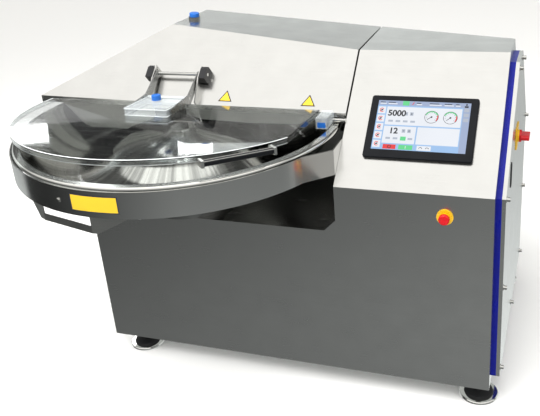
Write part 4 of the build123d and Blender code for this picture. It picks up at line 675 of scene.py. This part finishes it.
# What hangs in the sky behind the left rear, as (azimuth, height, half width, half height, brightness)
# with angles in degrees: a black flag, a grey wall under it, two windows and two tall strips.
SKY_PATCHES = (
    (125.0, 16.0, 7.5, 5.0, 0.05), (124.0, 8.0, 8.0, 3.0, 0.5),
    (129.5, 11.6, 1.5, 0.65, 4.5), (117.5, 13.3, 1.3, 0.6, 4.5),
    (126.5, 40.0, 1.2, 18.0, 4.5), (119.5, 42.0, 0.8, 18.0, 4.5),
)
# Soft boxes as (name, place, size in metres, power in watts), all turned to the machine's middle.
LAMPS = (("overhead", machine(-900, -900, 3600), (4.0, 3.0), 190),
         ("front_left", machine(-3200, -3000, 2300), (2.2, 2.2), 40),
         ("right", machine(2800, -800, 2300), (1.6, 2.0), 25))
LAMP_AIM = machine(-400, 300, 800)


def pale_floor():
    """Plain floor that the metal doesn't mirror."""
    bpy.ops.mesh.primitive_plane_add(size=FLOOR_SIZE)
    floor = bpy.context.object
    floor.name = "floor"
    floor.data.materials.append(blank("pale_studio_floor", "#fbfbfa", 0.9)[0])
    floor.visible_glossy = False
    return floor


def sky():
    """One wrapped sky for the metal to mirror, over a plain white backdrop that the camera sees."""
    world = bpy.data.worlds.new("studio")
    bpy.context.scene.world = world
    world.use_nodes = True
    tree = world.node_tree
    tree.nodes.clear()
    ray = add_node(tree, "ShaderNodeTexCoord").outputs["Generated"]
    part = add_node(tree, "ShaderNodeSeparateXYZ", links={"Vector": ray}).outputs
    rise = add_node(tree, "ShaderNodeMapRange", values={"From Min": -1.0, "From Max": 1.0},
                    links={"Value": part["Z"]}).outputs["Result"]
    halves = []
    for stops in (FRONT_SKY, REAR_SKY):
        ramp = add_node(tree, "ShaderNodeValToRGB", links={"Fac": rise})
        colours = ramp.color_ramp
        while len(colours.elements) < len(stops):
            colours.elements.new(0.5)
        for element, (height, level) in zip(colours.elements, stops):
            element.position = (height + 1) / 2
            tint = WARM if height > WARM_FROM else COOL
            element.color = [level * channel for channel in tint] + [1.0]
        halves.append(ramp.outputs["Color"])
    behind = add_node(tree, "ShaderNodeMapRange", settings={"interpolation_type": "SMOOTHSTEP"},
                      values={"From Min": BEHIND_FROM, "From Max": BEHIND_TO}, links={"Value": part["Y"]})
    low = add_node(tree, "ShaderNodeMapRange", values={"From Min": LOW_FROM, "From Max": LOW_TO},
                   links={"Value": part["Z"]}).outputs["Result"]
    left = add_node(tree, "ShaderNodeMapRange",
                    values={"From Min": LEFT_FROM, "From Max": LEFT_TO, "To Max": LEFT_SHADE},
                    links={"Value": part["X"]}).outputs["Result"]
    shade = add_node(tree, "ShaderNodeMath", settings={"operation": "MULTIPLY"}, links={0: low, 1: left})
    front = add_node(tree, "ShaderNodeMixRGB", values={"Color2": (0.0, 0.0, 0.0, 1.0)},
                     links={"Fac": shade.outputs["Value"], "Color1": halves[0]}).outputs["Color"]
    glow = add_node(tree, "ShaderNodeMixRGB", links={"Fac": behind.outputs["Result"], "Color1": front,
                                                     "Color2": halves[1]}).outputs["Color"]
    azimuth = add_node(tree, "ShaderNodeMath", settings={"operation": "ARCTAN2"},
                       links={0: part["Y"], 1: part["X"]}).outputs["Value"]
    elevation = add_node(tree, "ShaderNodeMath", settings={"operation": "ARCSINE"},
                         links={0: part["Z"]}).outputs["Value"]
    for turn, height, half_turn, half_height, level in SKY_PATCHES:
        across = add_node(tree, "ShaderNodeMath", settings={"operation": "COMPARE"},
                          values={1: radians(turn), 2: radians(half_turn)}, links={0: azimuth})
        upright = add_node(tree, "ShaderNodeMath", settings={"operation": "COMPARE"},
                           values={1: radians(height), 2: radians(half_height)}, links={0: elevation})
        inside = add_node(tree, "ShaderNodeMath", settings={"operation": "MULTIPLY"},
                          links={0: across.outputs["Value"], 1: upright.outputs["Value"]})
        glow = add_node(tree, "ShaderNodeMixRGB", values={"Color2": (level, level, level, 1.0)},
                        links={"Fac": inside.outputs["Value"], "Color1": glow}).outputs["Color"]
    wrapped = add_node(tree, "ShaderNodeBackground", links={"Color": glow})
    white = add_node(tree, "ShaderNodeBackground", values={"Color": (1.0, 1.0, 1.0, 1.0), "Strength": 1.0})
    path = add_node(tree, "ShaderNodeLightPath")
    mixed = add_node(tree, "ShaderNodeMixShader",
                     links={0: path.outputs["Is Camera Ray"], 1: wrapped.outputs[0], 2: white.outputs[0]})
    add_node(tree, "ShaderNodeOutputWorld", links={"Surface": mixed.outputs[0]})


def lamps():
    """Soft boxes that light the floor and the plastics; the metal mirrors only the sky."""
    made = []
    for name, place, size, power in LAMPS:
        light = bpy.data.lights.new(name, "AREA")
        light.shape = "RECTANGLE"
        light.size, light.size_y = size
        light.energy = power
        lamp = bpy.data.objects.new(name, light)
        bpy.context.scene.collection.objects.link(lamp)
        lamp.location = place
        lamp.visible_glossy = False
        lamp.visible_transmission = False
        lamp.rotation_euler = (LAMP_AIM - place).to_track_quat("-Z", "Y").to_euler()
        made.append(lamp)
    return made


stage = [pale_floor(), *lamps()]
sky()


# ---- camera ----------------------------------------------------------------
CAMERA_PLACE = machine(797.5, -2444.2, 2104.0)
CAMERA_TURN, CAMERA_DIP, CAMERA_ROLL = 0.3606, 0.41, -0.0786     # radians: to the left, down and over
SENSOR, LENS = 36.0, 51.41         # mm
IMAGE_W = 540
SHIFT_X, SHIFT_Y = -30, -38        # pixels


def camera():
    """Camera in front of the console's right corner, a little above head height."""
    turn, dip, roll = CAMERA_TURN, CAMERA_DIP, CAMERA_ROLL
    forward = Vector((-sin(turn) * cos(dip), cos(turn) * cos(dip), -sin(dip)))
    right = Vector((cos(turn), sin(turn), 0))
    up = right.cross(forward)
    right_rolled = right * cos(roll) + up * sin(roll)
    up_rolled = up * cos(roll) - right * sin(roll)
    data = bpy.data.cameras.new("camera")
    data.sensor_width = SENSOR
    data.lens = LENS
    data.shift_x = SHIFT_X / IMAGE_W
    data.shift_y = SHIFT_Y / IMAGE_W
    eye = bpy.data.objects.new("camera", data)
    bpy.context.scene.collection.objects.link(eye)
    matrix = Matrix((right_rolled, up_rolled, -forward)).transposed().to_4x4()
    matrix.translation = CAMERA_PLACE
    eye.matrix_world = matrix
    bpy.context.scene.camera = eye


camera()
bpy.context.scene.view_settings.view_transform = "Standard"
